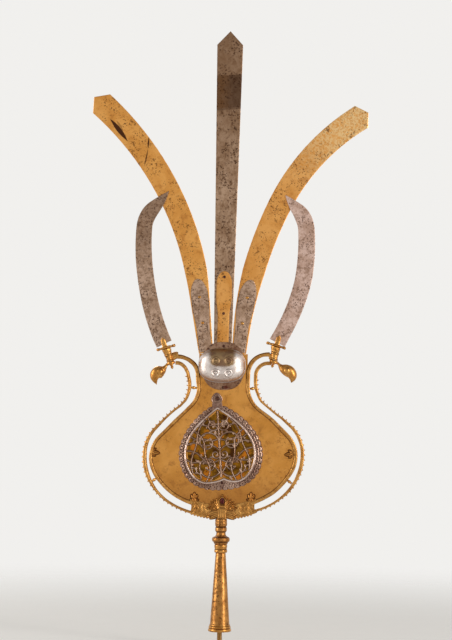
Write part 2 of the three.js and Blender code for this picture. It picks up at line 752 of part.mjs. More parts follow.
// Scrolls on each side of the stem, from the lowest up. Each leaves the stem at its height, where its
// middle lies in the direction opposite to start, and curls in by a steady share of its radius.
const scrolls = [
  { height: -34, radius: 29, startDeg: 200, turns: 1.35, inward: 0.78 },
  { height: 20, radius: 26, startDeg: 190, turns: -1.3, inward: 0.76 },
  { height: 51, radius: 14, startDeg: 200, turns: 1.15, inward: 0.72 },
];
const leafShares = [0.25, 0.5];

// The point of a scroll at a share of its length, and the heading from its middle to there.
function scrollPoint({ height, radius, startDeg, turns, inward }, side, share) {
  const start = startDeg * degrees;
  const middle = { x: -radius * Math.cos(start), y: height - radius * Math.sin(start) };
  const angle = startDeg + 360 * turns * share;
  const r = radius * (1 - inward * share);
  const x = side * (middle.x + r * Math.cos(angle * degrees));
  return { x, y: middle.y + r * Math.sin(angle * degrees), heading: side > 0 ? angle : 180 - angle };
}

function scrollLine(one, side) {
  const parts = 12;
  return Array.from({ length: parts + 1 }, (_, i) => {
    const { x, y } = scrollPoint(one, side, i / parts);
    return new THREE.Vector2(x, y);
  });
}

function leaf(x, y, length, width, heading) {
  const [c, s] = [Math.cos(heading * degrees), Math.sin(heading * degrees)];
  const [foot, belly] = [width * 0.3, width / 2];
  const outline = [[0, -foot], [length * 0.45, -belly], [length, 0], [length * 0.45, belly], [0, foot]];
  return polygon(outline.map(([a, b]) => [x + a * c - b * s, y + a * s + b * c]));
}

function cartoucheTracery() {
  const from = backingFront - seam;
  const to = from - traceryThickness;
  const outer = openingPoints(-seam);
  const inner = openingPoints(-seam - traceryRim);
  const rimRing = cut(slab(shapeOf(outer), from, to), slab(shapeOf(inner), -through, through));
  const stemLine = [-opening.lobe, opening.apex].map((y) => new THREE.Vector2(0, y));
  const stem = slab(ribbon(stemLine, traceryStrip, traceryStrip), from, to);
  const parts = [rimRing, stem];
  for (const side of [-1, 1]) {
    for (const one of scrolls) {
      const line = scrollLine(one, side);
      parts.push(slab(ribbon(line, traceryStrip, traceryStrip), from, to));
      const bud = line[line.length - 1];
      parts.push(peg(budRadius, bud.x, bud.y, from, to, 7));
      for (const share of leafShares) {
        const { x, y, heading } = scrollPoint(one, side, share);
        const lean = Math.sign(one.turns) * side * leafLean;
        parts.push(slab(leaf(x, y, leafLength, leafWidth, heading + lean), from, to));
      }
    }
  }
  const whole = union(...parts);
  return whole.intersect(slab(shapeOf(outer), from, to));
}

function cartoucheBezel() {
  const from = backingFront - seam - traceryThickness - seam;
  const line = openingPoints();
  const [half, top] = [bezelHalf, from - bezelRise];
  const section = [[-half, from], [-half * 0.5, top], [half * 0.5, top], [half, from]];
  return carried(line, section, () => 1, true);
}

// Boss

// A rounded oblong outline about a middle, as points in X and Z.
function oblong(x, z, halfWidth, halfHeight, count) {
  const rounded = (value) => Math.sign(value) * Math.abs(value) ** (2 / squareness);
  return Array.from({ length: count }, (_, i) => {
    const angle = (i / count) * 2 * Math.PI;
    const [u, v] = [rounded(Math.cos(angle)), rounded(Math.sin(angle))];
    return new THREE.Vector2(x + halfWidth * u, z + halfHeight * v);
  });
}

const bossSides = 22;

// A solid dome on the boss's outline, drawn in all round by an inset.
function domeSolid(inset, footY) {
  const steps = 5;
  const plan = (share) => {
    const [w, h] = [boss.halfWidth - inset, boss.halfHeight - inset].map((half) => half * share);
    return oblong(boss.x, boss.z, w, h, bossSides);
  };
  const top = frameHalf + seam + boss.shell + boss.depth - (inset > boss.flange ? boss.shell : 0);
  const rings = [plan(1).map((p) => new THREE.Vector3(p.x, footY, p.y))];
  for (let i = 0; i <= steps; i++) {
    const angle = (i / steps) * 88 * degrees;
    const y = frameHalf + seam + boss.shell + (top - frameHalf - seam - boss.shell) * Math.sin(angle);
    rings.push(plan(Math.cos(angle) ** bossFullness).map((p) => new THREE.Vector3(p.x, y, p.y)));
  }
  return loft(rings, plan(1));
}

// One half of the boss: a domed shell on a narrow flange, with the roundels on the front one.
function bossHalf(front) {
  const foot = frameHalf + seam;
  const outline = oblong(boss.x, boss.z, boss.halfWidth, boss.halfHeight, bossSides);
  const flange = slab(shapeOf(outline), foot, foot + boss.shell);
  const dome = domeSolid(boss.flange, foot);
  const discs = front ? roundels.flatMap(([x, up]) => [roundelOn(-x, up), roundelOn(x, up)]) : [];
  const whole = cut(union(flange, dome, ...discs), domeSolid(boss.flange + boss.shell, foot - 1));
  return front ? whole.mirror([0, 1, 0]) : whole;
}

// A raised ring with a stud in it, set square to the dome's surface.
function roundelOn(x, up) {
  const [w, h] = [boss.halfWidth - boss.flange, boss.halfHeight - boss.flange];
  const foot = frameHalf + seam + boss.shell;
  const rise = (u, v) => {
    const share = (Math.abs(u / w) ** squareness + Math.abs(v / h) ** squareness) ** (1 / squareness);
    return foot + boss.depth * Math.sqrt(1 - Math.min(1, share ** (2 / bossFullness)));
  };
  const step = 0.5;
  const slopeX = (rise(x + step, up) - rise(x - step, up)) / (2 * step);
  const slopeZ = (rise(x, up + step) - rise(x, up - step)) / (2 * step);
  const profile = [
    [0, -0.8], [roundelRadius, -0.8], [roundelRadius, 0.6], [roundelRadius - 1.3, 1],
    [roundelRadius - 2.6, 0.2], [2.6, 0.2], [1.6, 1.2], [0, 1.5],
  ].map(([r, height]) => new THREE.Vector2(r, height));
  const geometry = new THREE.LatheGeometry(profile, 10);
  const normal = new THREE.Vector3(-slopeX, 1, -slopeZ).normalize();
  geometry.applyQuaternion(new THREE.Quaternion().setFromUnitVectors(new THREE.Vector3(0, 1, 0), normal));
  geometry.translate(boss.x + x, rise(x, up), boss.z + up);
  return solidOf(facingOut(geometry));
}

// The steel plate that each boss sits on. It shows above as a crown and below as a skirt.
function bossSeat(front) {
  const outline = oblong(0, seatPlate.z, seatPlate.halfWidth, seatPlate.halfHeight, 30);
  const side = front ? -1 : 1;
  const holes = [skirtRivetAt, crownRivetAt, ...tangRivetsAt].map(([x, z]) => rivetHole(x, z));
  return cut(slab(shapeOf(outline), side * (sheetOuter + seam), side * frameHalf), ...holes);
}

// Blades

// A flat blade along a line, with bevelled edges. Its stops give half its width at lengths from the
// root, up to the shoulder, and from there it narrows to a point: by a straight line where taper is
// 1, and roundly where it is less.
function bladeAlong(points, stops, tip, taper = 1) {
  const at = lengthsAlong(points);
  const total = at[at.length - 1];
  const shoulder = total - tip;
  const half = (i) => {
    if (at[i] <= shoulder + 0.01) return between(stops, at[i]);
    return stops.at(-1)[1] * Math.max(0.04, ((total - at[i]) / tip) ** taper);
  };
  const normals = leftNormals(points);
  const rings = points.map((p, i) => {
    const flat = Math.max(half(i) - bladeBevel, half(i) * 0.3);
    const pairs = [
      [-half(i), -0.3], [-flat, -coreHalf], [flat, -coreHalf], [half(i), -0.3],
      [half(i), 0.3], [flat, coreHalf], [-flat, coreHalf], [-half(i), 0.3],
    ];
    return pairs.map(([left, y]) => {
      const q = p.clone().addScaledVector(normals[i], left);
      return new THREE.Vector3(q.x, y, q.y);
    });
  });
  const section = [[-3, -0.3], [-2, -1], [2, -1], [3, -0.3], [3, 0.3], [2, 1], [-2, 1], [-3, 0.3]];
  return loft(rings, section.map(([x, y]) => new THREE.Vector2(x, y)));
}

// A side blade's middle line up to a length from its root: straight, then bent outwards.
function sideBladeTrail({ rootX, lean, straight, bends }, length = Infinity) {
  const trail = new Trail(rootX, bladeRootZ, 90 - lean, 34).line(Math.min(straight, length));
  let left = length - straight;
  for (const { radius, turnDeg } of bends) {
    const bend = Math.min(turnDeg, left / radius / degrees);
    if (bend > 0) trail.arc(radius, -bend);
    left -= radius * turnDeg * degrees;
  }
  return trail;
}

function tangOf(x) {
  return boxSolid(x - tangHalf, x + tangHalf, -coreHalf, coreHalf, bladeRootZ - tangLength, bladeRootZ + 3);
}

function sideBladeSolid(form) {
  const trail = sideBladeTrail(form);
  const ending = new Trail(trail.x, trail.z, trail.heading).line(form.tip).points;
  const points = [...trail.points, ...ending.slice(1)];
  const shoulder = lengthsAlong(trail.points).at(-1);
  const stops = [[0, sideHalf.root], [sideHalf.bodyAt, sideHalf.body], [shoulder, sideHalf.tip]];
  const holes = langetRivetsAt.side.map((s) => rivetHole(...sideBladePoint(form, s)));
  const blade = union(bladeAlong(points, stops, form.tip), tangOf(sideTangX));
  return cut(blade, rivetHole(sideTangX, tangRivetZ), ...holes);
}

function sideBladePoint(form, s) {
  const trail = sideBladeTrail(form, s);
  return [trail.x, trail.z];
}

const centreTrail = (length) =>
  new Trail(centreBlade.rootX, bladeRootZ, 90 - centreBlade.lean).line(length);
const centrePoint = (s) => [centreTrail(s).x, centreTrail(s).z];

function centreBladeSolid() {
  const points = [0, centreBlade.length, centreBlade.length + centreBlade.tip].map(
    (s) => new THREE.Vector2(...centrePoint(s)),
  );
  const stops = [[0, centreBlade.rootHalf], [centreBlade.length, centreBlade.tipHalf]];
  const blade = bladeAlong(points, stops, centreBlade.tip);
  const holesAt = [tangRivetsAt[1], crownRivetAt, ...langetRivetsAt.centre.map(centrePoint)];
  return cut(union(blade, tangOf(centreBlade.rootX)), ...holesAt.map(([x, z]) => rivetHole(x, z)));
}

// A langet: a thin tongue on a blade's face, waisted above its root and pointed like an arch.
function langet(trailTo, form, holesAt, front) {
  const stops = [langetFoot, form.waistAt, form.length * 0.75, form.length];
  const halves = [form.rootHalf, form.rootHalf * 1.06, form.swellHalf, form.swellHalf];
  const tipSteps = [0.35, 0.7, 1];
  const right = [];
  const left = [];
  const put = (s, half) => {
    const end = trailTo(s);
    const sideways = (end.heading - 90) * degrees;
    const [dx, dz] = [half * Math.cos(sideways), half * Math.sin(sideways)];
    right.push(new THREE.Vector2(end.x + dx, end.z + dz));
    left.push(new THREE.Vector2(end.x - dx, end.z - dz));
  };
  stops.forEach((s, i) => put(s, halves[i]));
  for (const share of tipSteps) {
    put(form.length + form.tip * share, form.swellHalf * Math.sqrt(1 - share ** 1.5));
  }
  left.pop();
  const y = front ? [-sheetInner, -sheetOuter] : [sheetInner, sheetOuter];
  const tongue = slab(shapeOf([...right, ...left.reverse()]), ...y);
  return cut(tongue, ...holesAt.map(([x, z]) => rivetHole(x, z)));
}

// Hilts, pommels and sabres, on the right-hand side

// The hilt's own frame has its origin in the pommel cap and +Z along the grip.
function gripSolid(grow = 0) {
  const foot = pommelCap.half + seam - grow;
  const top = guard.z - guard.half + 1;
  const rise = top - foot;
  const stops = [
    [0, grip.footRadius], [0.15, grip.footRadius], [0.3, grip.waistRadius],
    [0.6, grip.waistRadius * 1.1], [1, grip.topRadius],
  ];
  return turned([[0, foot], ...stops.map(([share, r]) => [r + grow, foot + rise * share]), [0, top]], 16);
}

function pommelCapSolid(grow = 0) {
  const [r, half] = [pommelCap.radius + grow, pommelCap.half + grow];
  const profile = [
    [0, -half], [r * 0.8, -half], [r, -half * 0.4], [r, half * 0.4], [r * 0.86, half], [0, half],
  ];
  return turned(profile, 16);
}

function hiltSolid() {
  const { z: guardZ, half: guardHalf, halfLength, depth } = guard;
  const bar = boxSolid(-halfLength, halfLength, -depth, depth, guardZ - guardHalf, guardZ + guardHalf);
  const balls = [-1, 1].map((side) => {
    const ball = new THREE.SphereGeometry(guard.ball, 8, 5);
    ball.scale(1, 1.3, 1);
    ball.translate(side * halfLength, 0, guardZ);
    return solidOf(ball);
  });
  const waist = halfLength * 0.42;
  const [nipDepth, nipHalf] = [depth * 0.5, guardHalf * 0.6];
  const nips = [-1, 1].map((side) => {
    const edge = [side * waist, side * (halfLength - guard.ball)].sort((a, b) => a - b);
    return cut(
      boxSolid(edge[0], edge[1], -through, through, guardZ - depth, guardZ + depth),
      boxSolid(edge[0] - 1, edge[1] + 1, -nipDepth, nipDepth, guardZ - nipHalf, guardZ + nipHalf),
    );
  });
  const strapFoot = guardZ;
  const straps = [-1, 1].map((side) => {
    const inner = coreHalf + seam;
    const w = hiltLanget.halfWidth;
    const tip = strapFoot + hiltLanget.height;
    const outline = [[-w, strapFoot], [w, strapFoot], [w * 0.8, tip - 6], [0, tip], [-w * 0.8, tip - 6]];
    const shape = polygon(outline.map(([x, y]) => [x + sabre.across, y]));
    return slab(shape, side * inner, side * (inner + hiltLanget.thickness));
  });
  const { across, base, tang } = sabre;
  const [slotHalf, slotDepth] = [sabre.tangHalf + seam, coreHalf + seam];
  const slot = boxSolid(
    across - slotHalf, across + slotHalf, -slotDepth, slotDepth, base - tang - seam, base + beyond,
  );
  return cut(union(cut(bar, ...nips), ...balls, gripSolid(), ...straps), slot);
}

// The pommel: a round cap with a nub below it, and a bud on a thin neck that hooks over to a beak.
const budLine = [
  [6, -2.2, 2.6], [10.5, -5, 2.5], [13, -8.4, 3.4], [14.5, -11.5, 4.8], [17, -13.8, 4.4], [20.5, -15.8, 8],
  [25, -18, 11.5], [30, -21.2, 13], [34, -25.8, 12], [35.8, -31.4, 8.6], [34.3, -37, 4.6], [31.5, -42, 1],
]; // x and z from the cap's middle, as the finial stands, and the bud's radius there
const budFlatness = 0.86;

function pommelSolid(swing) {
  const { half } = pommelCap;
  const nub = turned(
    [
      [0, 1 - half], [pommelNub.radius, 1 - half], [pommelNub.radius, -half - 2],
      [pommelNub.radius * 0.55, -half - 4], [pommelNub.radius * 0.75, -half - 6],
      [0, -half - pommelNub.length],
    ],
    10,
  );
  const line = budLine.map(([x, z]) => new THREE.Vector2(x, z));
  const normals = leftNormals(line);
  const sides = 10;
  const circle = Array.from({ length: sides }, (_, i) => (i / sides) * 2 * Math.PI);
  const rings = line.map((p, i) =>
    circle.map((angle) => {
      const r = budLine[i][2];
      const q = p.clone().addScaledVector(normals[i], r * Math.cos(angle));
      return new THREE.Vector3(q.x, r * budFlatness * Math.sin(angle), q.y);
    }),
  );
  const bud = loft(rings, circle.map((angle) => new THREE.Vector2(Math.cos(angle), Math.sin(angle))));
  return union(pommelCapSolid(), nub, bud.rotate([0, -hilt.lean - swing, 0]));
}

// The sabre's outline: both edges follow one line, and the point sweeps in to a tip.
function sabreSolid() {
  const { across, base, lean, radius, turnDeg, tipRadius, tipTurnDeg, tip, tangHalf: half, tang } = sabre;
  const trail = new Trail(across, base, 90 - lean, 24).arc(radius, turnDeg).arc(tipRadius, tipTurnDeg);
  const ending = new Trail(trail.x, trail.z, trail.heading);
  ending.line(tip * 0.4).line(tip * 0.35).line(tip * 0.25);
  const points = [...trail.points, ...ending.points.slice(1)];
  const guardEnd = guard.halfLength + guard.ball + seam;
  const guardTop = guard.z + Math.max(guard.half, guard.ball) + seam;
  const guardRoom = boxSolid(-guardEnd, guardEnd, -through, through, 0, guardTop);
  const blade = cut(bladeAlong(points, [[0, sabre.halfWidth]], tip, sabreTaper), guardRoom);
  return union(blade, boxSolid(across - half, across + half, -coreHalf, coreHalf, base - tang, base + 8));
}

// Ornament

// The cast palmette over the base band: a pointed arch round the stone, fans of leaves and two fins.
const archHalf = 12.4;
const archTop = 12; // above the stone's middle
const fanDrop = 16.5; // below the stone's middle

function palmetteSolid(front) {
  const from = -frameHalf - seam;
  const to = from - palmette.thickness;
  const z = stone.z;
  const arch = polygon([
    [-9, z - 19.5], [9, z - 19.5], [archHalf, z - 5.5], [archHalf * 0.82, z + 2.5],
    [archHalf * 0.4, z + archTop * 0.7], [0, z + archTop], [-archHalf * 0.4, z + archTop * 0.7],
    [-archHalf * 0.82, z + 2.5], [-archHalf, z - 5.5],
  ]);
  const stem = polygon([[-9.5, 1], [9.5, 1], [8, 9.5], [10, 21.5], [-10, 21.5], [-8, 9.5]]);
  const parts = [slab(arch, from, to), slab(stem, from, to - 1)];
  const fan = [12, 36, 58].map((angle, k) => [4, z - fanDrop, 22 - k * 2, 8.5, angle, 0.4 * k]);
  const fins = [[5, 9.8, 24, 8, -18, 0], [5, 13.8, 22, 7, 4, 0.6]];
  for (const side of [-1, 1]) {
    for (const [x, foot, long, wide, angle, more] of [...fan, ...fins]) {
      const blade = leaf(side * x, foot, long, wide, side > 0 ? angle : 180 - angle);
      parts.push(slab(blade, from, from - palmette.leaf - more));
    }
  }
  if (!front) return union(...parts).mirror([0, 1, 0]);
  return cut(union(...parts), slab(stoneOutline(seam), -through, to + stone.depth));
}

// The stone's outline is a drop with its point up.
function stoneOutline(grow = 0) {
  const { halfWidth: w, halfHeight: h, z } = stone;
  const right = [[w * 0.6, h * 0.3], [w, -h * 0.3], [w * 0.7, -h * 0.8]];
  const left = right.map(([x, y]) => [-x, y]).reverse();
  const [across, up] = [1 + grow / w, 1 + grow / h];
  return polygon([[0, h], ...right, [0, -h], ...left].map(([x, y]) => [x * across, z + y * up]));
}

function stoneSolid() {
  const seat = -frameHalf - seam - palmette.thickness + stone.depth - seam;
  return slab(stoneOutline(), seat, seat - stone.thickness);
}

// A clip on the front sheet, its foot cut to follow the rim's inner edge.
function clipSolid(points) {
  const from = -sheetOuter - seam;
  const rimSide = ribbon(halfOutline(rimCentre, 0).points, sideClipReach, rimHalf.body + seam);
  return cut(slab(polygon(points), from, from - clipThickness), slab(rimSide, -through, through));
}

// Clips that hold the front sheet: one on each side of the belly and one over each end of the base band
const sideClipRise = 4; // above the rim's widest height
const sideClipReach = 15;

function sideClip() {
  const x = rimCentre.halfWidth - rimHalf.body;
  const z = rimCentre.midZ + sideClipRise;
  return clipSolid([
    [x + 1, z - 4.5], [x + 1, z + 4.5], [x - 5, z + 2.2], [x - 9, z + 4], [x - sideClipReach, z],
    [x - 9, z - 3.2], [x - 5, z - 1.6],
  ]);
}

const baseClipX = baseBandHalf - 7;
const baseClipHeight = 16.5;

function baseClip() {
  const x = baseClipX;
  const width = rimCentre.halfWidth - rimHalf.body;
  const foot = rimCentre.midZ - (rimCentre.drop - rimHalf.body) * Math.sqrt(1 - (x / width) ** 2);
  return clipSolid([
    [x - 5.5, foot - 3], [x + 5.5, foot - 1], [x + 3, foot + 6], [x + 6, foot + 9], [x + 2.6, foot + 11],
    [x, foot + baseClipHeight], [x - 2.6, foot + 11], [x - 6, foot + 9], [x - 3, foot + 6],
  ]);
}

// Materials

const metal = (color, roughness, metalness = 1) =>
  new THREE.MeshStandardMaterial({ color, roughness, metalness });
const giltSheet = metal(0xc8923f, 0.38);
const giltCast = metal(0xd9a24c, 0.34);
const giltWorn = metal(0xb98748, 0.42);
const steel = metal(0x8f8279, 0.45);
const pierced = metal(0x9a8a86, 0.42);
const silver = metal(0xcfc8c4, 0.2);
const iron = metal(0x4a443f, 0.6);
const backing = metal(0x7c5a1c, 0.6, 0.4);
const wood = metal(0x7a5636, 0.75, 0);
const ruby = metal(0x4a1210, 0.15, 0);

// Assembly

const finial = new THREE.Group();

function add(group, name, solid, material) {
  const mesh = new THREE.Mesh(geometryOf(solid), material);
  mesh.name = name;
  group.add(mesh);
  return mesh;
}

add(finial, "mounting_rod", mountingRod(), giltWorn);
add(finial, "spigot", spigot(), wood);
add(finial, "socket", socket(), giltWorn);
add(finial, "foot_ring", footRing(), giltCast);
add(finial, "socket_collar", socketCollar(), giltCast);
add(finial, "knop", knop(), giltCast);
add(finial, "neck_ferrule", ferrule(), giltCast);

const shield = new THREE.Group();
shield.position.z = shieldFootZ;
finial.add(shield);
add(shield, "spine", spine(), iron);
add(shield, "base_band", baseBand(), giltCast);
add(shield, "palmette_front", palmetteSolid(true), giltCast);
add(shield, "palmette_back", palmetteSolid(false), giltCast);
add(shield, "palmette_stone", stoneSolid(), ruby);
add(shield, "front_sheet", shieldSheet(true), giltSheet);
add(shield, "back_sheet", shieldSheet(false), giltSheet);

const plaque = new THREE.Group();
plaque.position.set(cartouche.x, 0, cartouche.z);
plaque.rotation.y = -cartouche.tilt * degrees;
shield.add(plaque);
add(plaque, "cartouche_border", cartoucheBorder(), pierced);
add(plaque, "cartouche_backing", cartoucheBacking(), backing);
add(plaque, "cartouche_tracery", cartoucheTracery(), pierced);
add(plaque, "cartouche_bezel", cartoucheBezel(), pierced);

const borderFront = -sheetOuter - seam - border.thickness;
["cartouche_loop_rivet", "cartouche_foot_rivet"].forEach((name, i) =>
  add(shield, name, rivet(...cartoucheRivetsAt[i], borderFront, sheetOuter), steel),
);

add(shield, "boss_front", bossHalf(true), silver);
add(shield, "boss_back", bossHalf(false), silver);
add(shield, "boss_seat_front", bossSeat(true), steel);
add(shield, "boss_seat_back", bossSeat(false), steel);
add(shield, "skirt_rivet", rivet(...skirtRivetAt, -frameHalf, frameHalf), steel);
add(shield, "crown_rivet", rivet(...crownRivetAt, -frameHalf, frameHalf), steel);
["left", "centre", "right"].forEach((name, i) =>
  add(shield, `${name}_tang_rivet`, rivet(...tangRivetsAt[i], -frameHalf, frameHalf), iron),
);

add(shield, "centre_blade", centreBladeSolid(), steel);
const centreHoles = [crownRivetAt, ...langetRivetsAt.centre.map(centrePoint)];
add(shield, "centre_langet_front", langet(centreTrail, centreLanget, centreHoles, true), giltSheet);
add(shield, "centre_langet_back", langet(centreTrail, centreLanget, centreHoles, false), giltSheet);
["lower", "upper"].forEach((name, i) => {
  const solid = rivet(...centrePoint(langetRivetsAt.centre[i]), -sheetOuter, sheetOuter);
  add(shield, `centre_langet_rivet_${name}`, solid, steel);
});

for (const side of ["left", "right"]) {
  const half = new THREE.Group();
  half.scale.x = side === "left" ? -1 : 1;
  shield.add(half);
  add(half, `${side}_rim`, rim(), giltCast);
  add(half, `${side}_crest`, crest(), giltCast);
  add(half, `${side}_side_clip`, sideClip(), giltCast);
  add(half, `${side}_base_clip`, baseClip(), giltCast);

  const form = sideBlades[side];
  const trailTo = (s) => sideBladeTrail(form, s);
  const holes = langetRivetsAt.side.map((s) => sideBladePoint(form, s));
  add(half, `${side}_blade`, sideBladeSolid(form), giltSheet);
  add(half, `${side}_langet_front`, langet(trailTo, sideLanget, holes, true), steel);
  add(half, `${side}_langet_back`, langet(trailTo, sideLanget, holes, false), steel);
  ["lower", "upper"].forEach((name, i) =>
    add(half, `${side}_langet_rivet_${name}`, rivet(...holes[i], -sheetOuter, sheetOuter), giltCast),
  );

  const arm = new THREE.Group();
  arm.position.set(hilt.x, hilt.y, hilt.z);
  arm.rotation.y = hilt.lean * degrees;
  half.add(arm);
  add(arm, `${side}_hilt`, hiltSolid(), giltCast);
  add(arm, `${side}_pommel`, pommelSolid(budSwing[side]), giltCast);
  add(arm, `${side}_sabre`, sabreSolid(), steel);
}

export default finial;
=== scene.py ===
# The processional finial's looks: smooth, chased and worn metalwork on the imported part.
# Shapes are worked out in millimetres, with the front facing -Y, and makePiece brings them to metres.
from math import cos, pi, radians, sin

import bmesh
import bpy
import numpy as np
from mathutils import Matrix, Vector


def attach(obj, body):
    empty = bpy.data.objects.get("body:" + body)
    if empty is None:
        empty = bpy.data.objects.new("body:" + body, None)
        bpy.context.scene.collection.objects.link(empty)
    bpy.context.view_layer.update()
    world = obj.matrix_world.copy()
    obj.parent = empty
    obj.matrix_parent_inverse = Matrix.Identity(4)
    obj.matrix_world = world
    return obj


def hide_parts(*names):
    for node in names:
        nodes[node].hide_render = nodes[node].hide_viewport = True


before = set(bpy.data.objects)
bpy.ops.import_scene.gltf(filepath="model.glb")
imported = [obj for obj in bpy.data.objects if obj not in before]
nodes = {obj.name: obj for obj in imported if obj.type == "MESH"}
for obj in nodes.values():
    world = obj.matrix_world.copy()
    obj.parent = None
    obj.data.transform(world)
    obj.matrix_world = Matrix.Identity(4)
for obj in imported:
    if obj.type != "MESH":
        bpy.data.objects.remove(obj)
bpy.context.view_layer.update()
scene = bpy.context.scene
scene.view_settings.view_transform = "Standard"
print("frame loaded:", len(nodes), "nodes")

# Camera: it stands in front, level with the finial's middle, and leans a little to its left
view = {"distance": 6000, "up": 1280, "centre": (3.9, 656), "roll": 0.0145, "sensor": 36, "clip": (0.1, 60)}
camera = bpy.data.objects.new("camera", bpy.data.cameras.new("camera"))
scene.collection.objects.link(camera)
camera.data.sensor_width = view["sensor"]  # the picture's long side, which is upright
camera.data.lens = view["sensor"] * view["distance"] / view["up"]
camera.data.clip_start, camera.data.clip_end = view["clip"]
leanCos, leanSin = cos(view["roll"]), sin(view["roll"])
midX, midZ = view["centre"]
camera.matrix_world = Matrix((
    (leanCos, -leanSin, 0, midX / 1000),
    (0, 0, -1, -view["distance"] / 1000),
    (leanSin, leanCos, 0, midZ / 1000),
    (0, 0, 0, 1),
))
scene.camera = camera


# Shader maths: a Tone is one socket, and arithmetic on it adds Math nodes
class Tone:
    def __init__(self, paint, socket):
        self.paint, self.socket = paint, socket

    def maths(self, operation, *values):
        return self.paint.node("ShaderNodeMath", {"operation": operation}, dict(enumerate(values)))

    def __add__(self, other):
        return self.maths("ADD", self, other)

    def __sub__(self, other):
        return self.maths("SUBTRACT", self, other)

    def __rsub__(self, other):
        return self.maths("SUBTRACT", other, self)

    def __mul__(self, other):
        return self.maths("MULTIPLY", self, other)

    def __truediv__(self, other):
        return self.maths("DIVIDE", self, other)

    def __pow__(self, other):
        return self.maths("POWER", self, other)

    def top(self, other):
        return self.maths("MAXIMUM", self, other)

    def size(self):
        return self.maths("ABSOLUTE", self)

    def between(self, low, high):  # 0 under low, 1 over high, and an S-curve in between
        settings = {"interpolation_type": "SMOOTHSTEP"}
        return self.paint.node("ShaderNodeMapRange", settings, {0: self, 1: low, 2: high, 3: 0.0, 4: 1.0})


class Paint:
    def __init__(self, name, light=None):
        if light:
            light.use_nodes = True
            self.tree = light.node_tree
        else:
            self.material = bpy.data.materials.new(name)
            self.material.use_nodes = True
            self.tree = self.material.node_tree
        self.tree.nodes.clear()

    def node(self, kind, settings, values, out=0):
        made = self.tree.nodes.new(kind)
        for key, value in settings.items():
            if key == "stops":
                ramp = made.color_ramp
                while len(ramp.elements) < len(value):
                    ramp.elements.new(0.5)
                for element, (at, colour) in zip(ramp.elements, value):
                    element.position, element.color = at, (*colour, 1)
            else:
                setattr(made, key, value)
        for key, value in values.items():
            if isinstance(value, Tone):
                self.tree.links.new(value.socket, made.inputs[key])
            elif isinstance(value, tuple) and len(value) == 3 and made.inputs[key].type == "RGBA":
                made.inputs[key].default_value = (*value, 1)
            else:
                made.inputs[key].default_value = value
        return Tone(self, made.outputs[out]) if len(made.outputs) else None

    def place(self, stretch=(1, 1, 1)):  # the object's own coordinates in millimetres, over stretch
        at = self.node("ShaderNodeTexCoord", {}, {}, "Object")
        scale = tuple(1000 / v for v in stretch)
        return self.node("ShaderNodeVectorMath", {"operation": "MULTIPLY"}, {0: at, 1: scale})

    def axis(self, at, number):  # one of a vector's three numbers
        return self.node("ShaderNodeSeparateXYZ", {}, {0: at}, number)

    def mark(self, name):  # a number that the mesh carries at each point
        return self.node("ShaderNodeAttribute", {"attribute_name": name}, {}, "Fac")

    def along(self, stretch=1.0):  # a blade's own coordinates: along it, over stretch, and across it
        parts = {0: self.mark("along") / stretch, 1: self.mark("across"), 2: 0.0}
        return self.node("ShaderNodeCombineXYZ", {}, parts)

    def noise(self, at, size, detail=3.0, rough=0.55, warp=0.0):
        values = {"Vector": at, "Scale": 1 / size, "Detail": detail, "Roughness": rough, "Distortion": warp}
        return self.node("ShaderNodeTexNoise", {}, values, "Fac")

    def cells(self, at, size):
        return self.node("ShaderNodeTexVoronoi", {}, {"Vector": at, "Scale": 1 / size}, "Distance")

    def mix(self, share, first, second):
        settings = {"data_type": "RGBA", "blend_type": "MIX", "clamp_result": False}
        return self.node("ShaderNodeMix", settings, {0: share, 6: first, 7: second}, 2)

    def done(self, colour, rough, height, depth, metal=1.0, **fixed):
        bump = self.node("ShaderNodeBump", {}, {"Strength": 1.0, "Distance": depth / 1000, "Height": height})
        values = {"Base Color": colour, "Roughness": rough, "Metallic": metal, "Normal": bump, **fixed}
        shader = self.node("ShaderNodeBsdfPrincipled", {}, values)
        self.node("ShaderNodeOutputMaterial", {}, {"Surface": shader})
        return self.material


def circle(count):
    # count angles at even steps round a whole turn
    return np.linspace(0, 2 * pi, count + 1)[:-1]


# Light: a pale studio all round, dimmer overhead and in front; two tall soft lamps in front, one behind
studio = {"pale": (0.88, 0.87, 0.85), "fill": 0.6, "overhead": 0.45, "front": 0.74}
floorLook = {"radius": 2.4, "sides": 96, "clearing": (600, 2160)}
lampColour = (1, 0.97, 0.92)
lamps = {
    "leftLamp": {"at": (-2600, -560, 900), "aim": 800, "size": (700, 2200), "power": 30},
    "rightLamp": {"at": (2150, -1700, 900), "aim": 800, "size": (620, 2200), "power": 34},
    "backLamp": {"at": (-900, 2400, 2100), "aim": 620, "size": (900, 900), "power": 10},
}


def studioWorld(look):
    # what the camera sees is pale; what metal mirrors dims overhead and ahead; the rest is the fill
    world = bpy.data.worlds.new("studio")
    scene.world = world
    paint = Paint("studio", world)
    ray = lambda kind: paint.node("ShaderNodeLightPath", {}, {}, kind)
    direction = paint.node("ShaderNodeTexCoord", {}, {}, "Generated")
    height, ahead = paint.axis(direction, 2), 0 - paint.axis(direction, 1)
    seen = ray("Is Camera Ray").top(ray("Is Transmission Ray"))
    dimming = 1 - height.between(0.3, 0.95) * (1 - look["overhead"])
    level = dimming * (1 - ahead.between(0.1, 0.9) * (1 - look["front"]))
    glossy = ray("Is Glossy Ray")
    strength = seen + (1 - seen) * (glossy * level + (1 - glossy) * look["fill"])
    shade = paint.node("ShaderNodeBackground", {}, {"Color": look["pale"], "Strength": strength})
    paint.node("ShaderNodeOutputWorld", {}, {"Surface": shade})


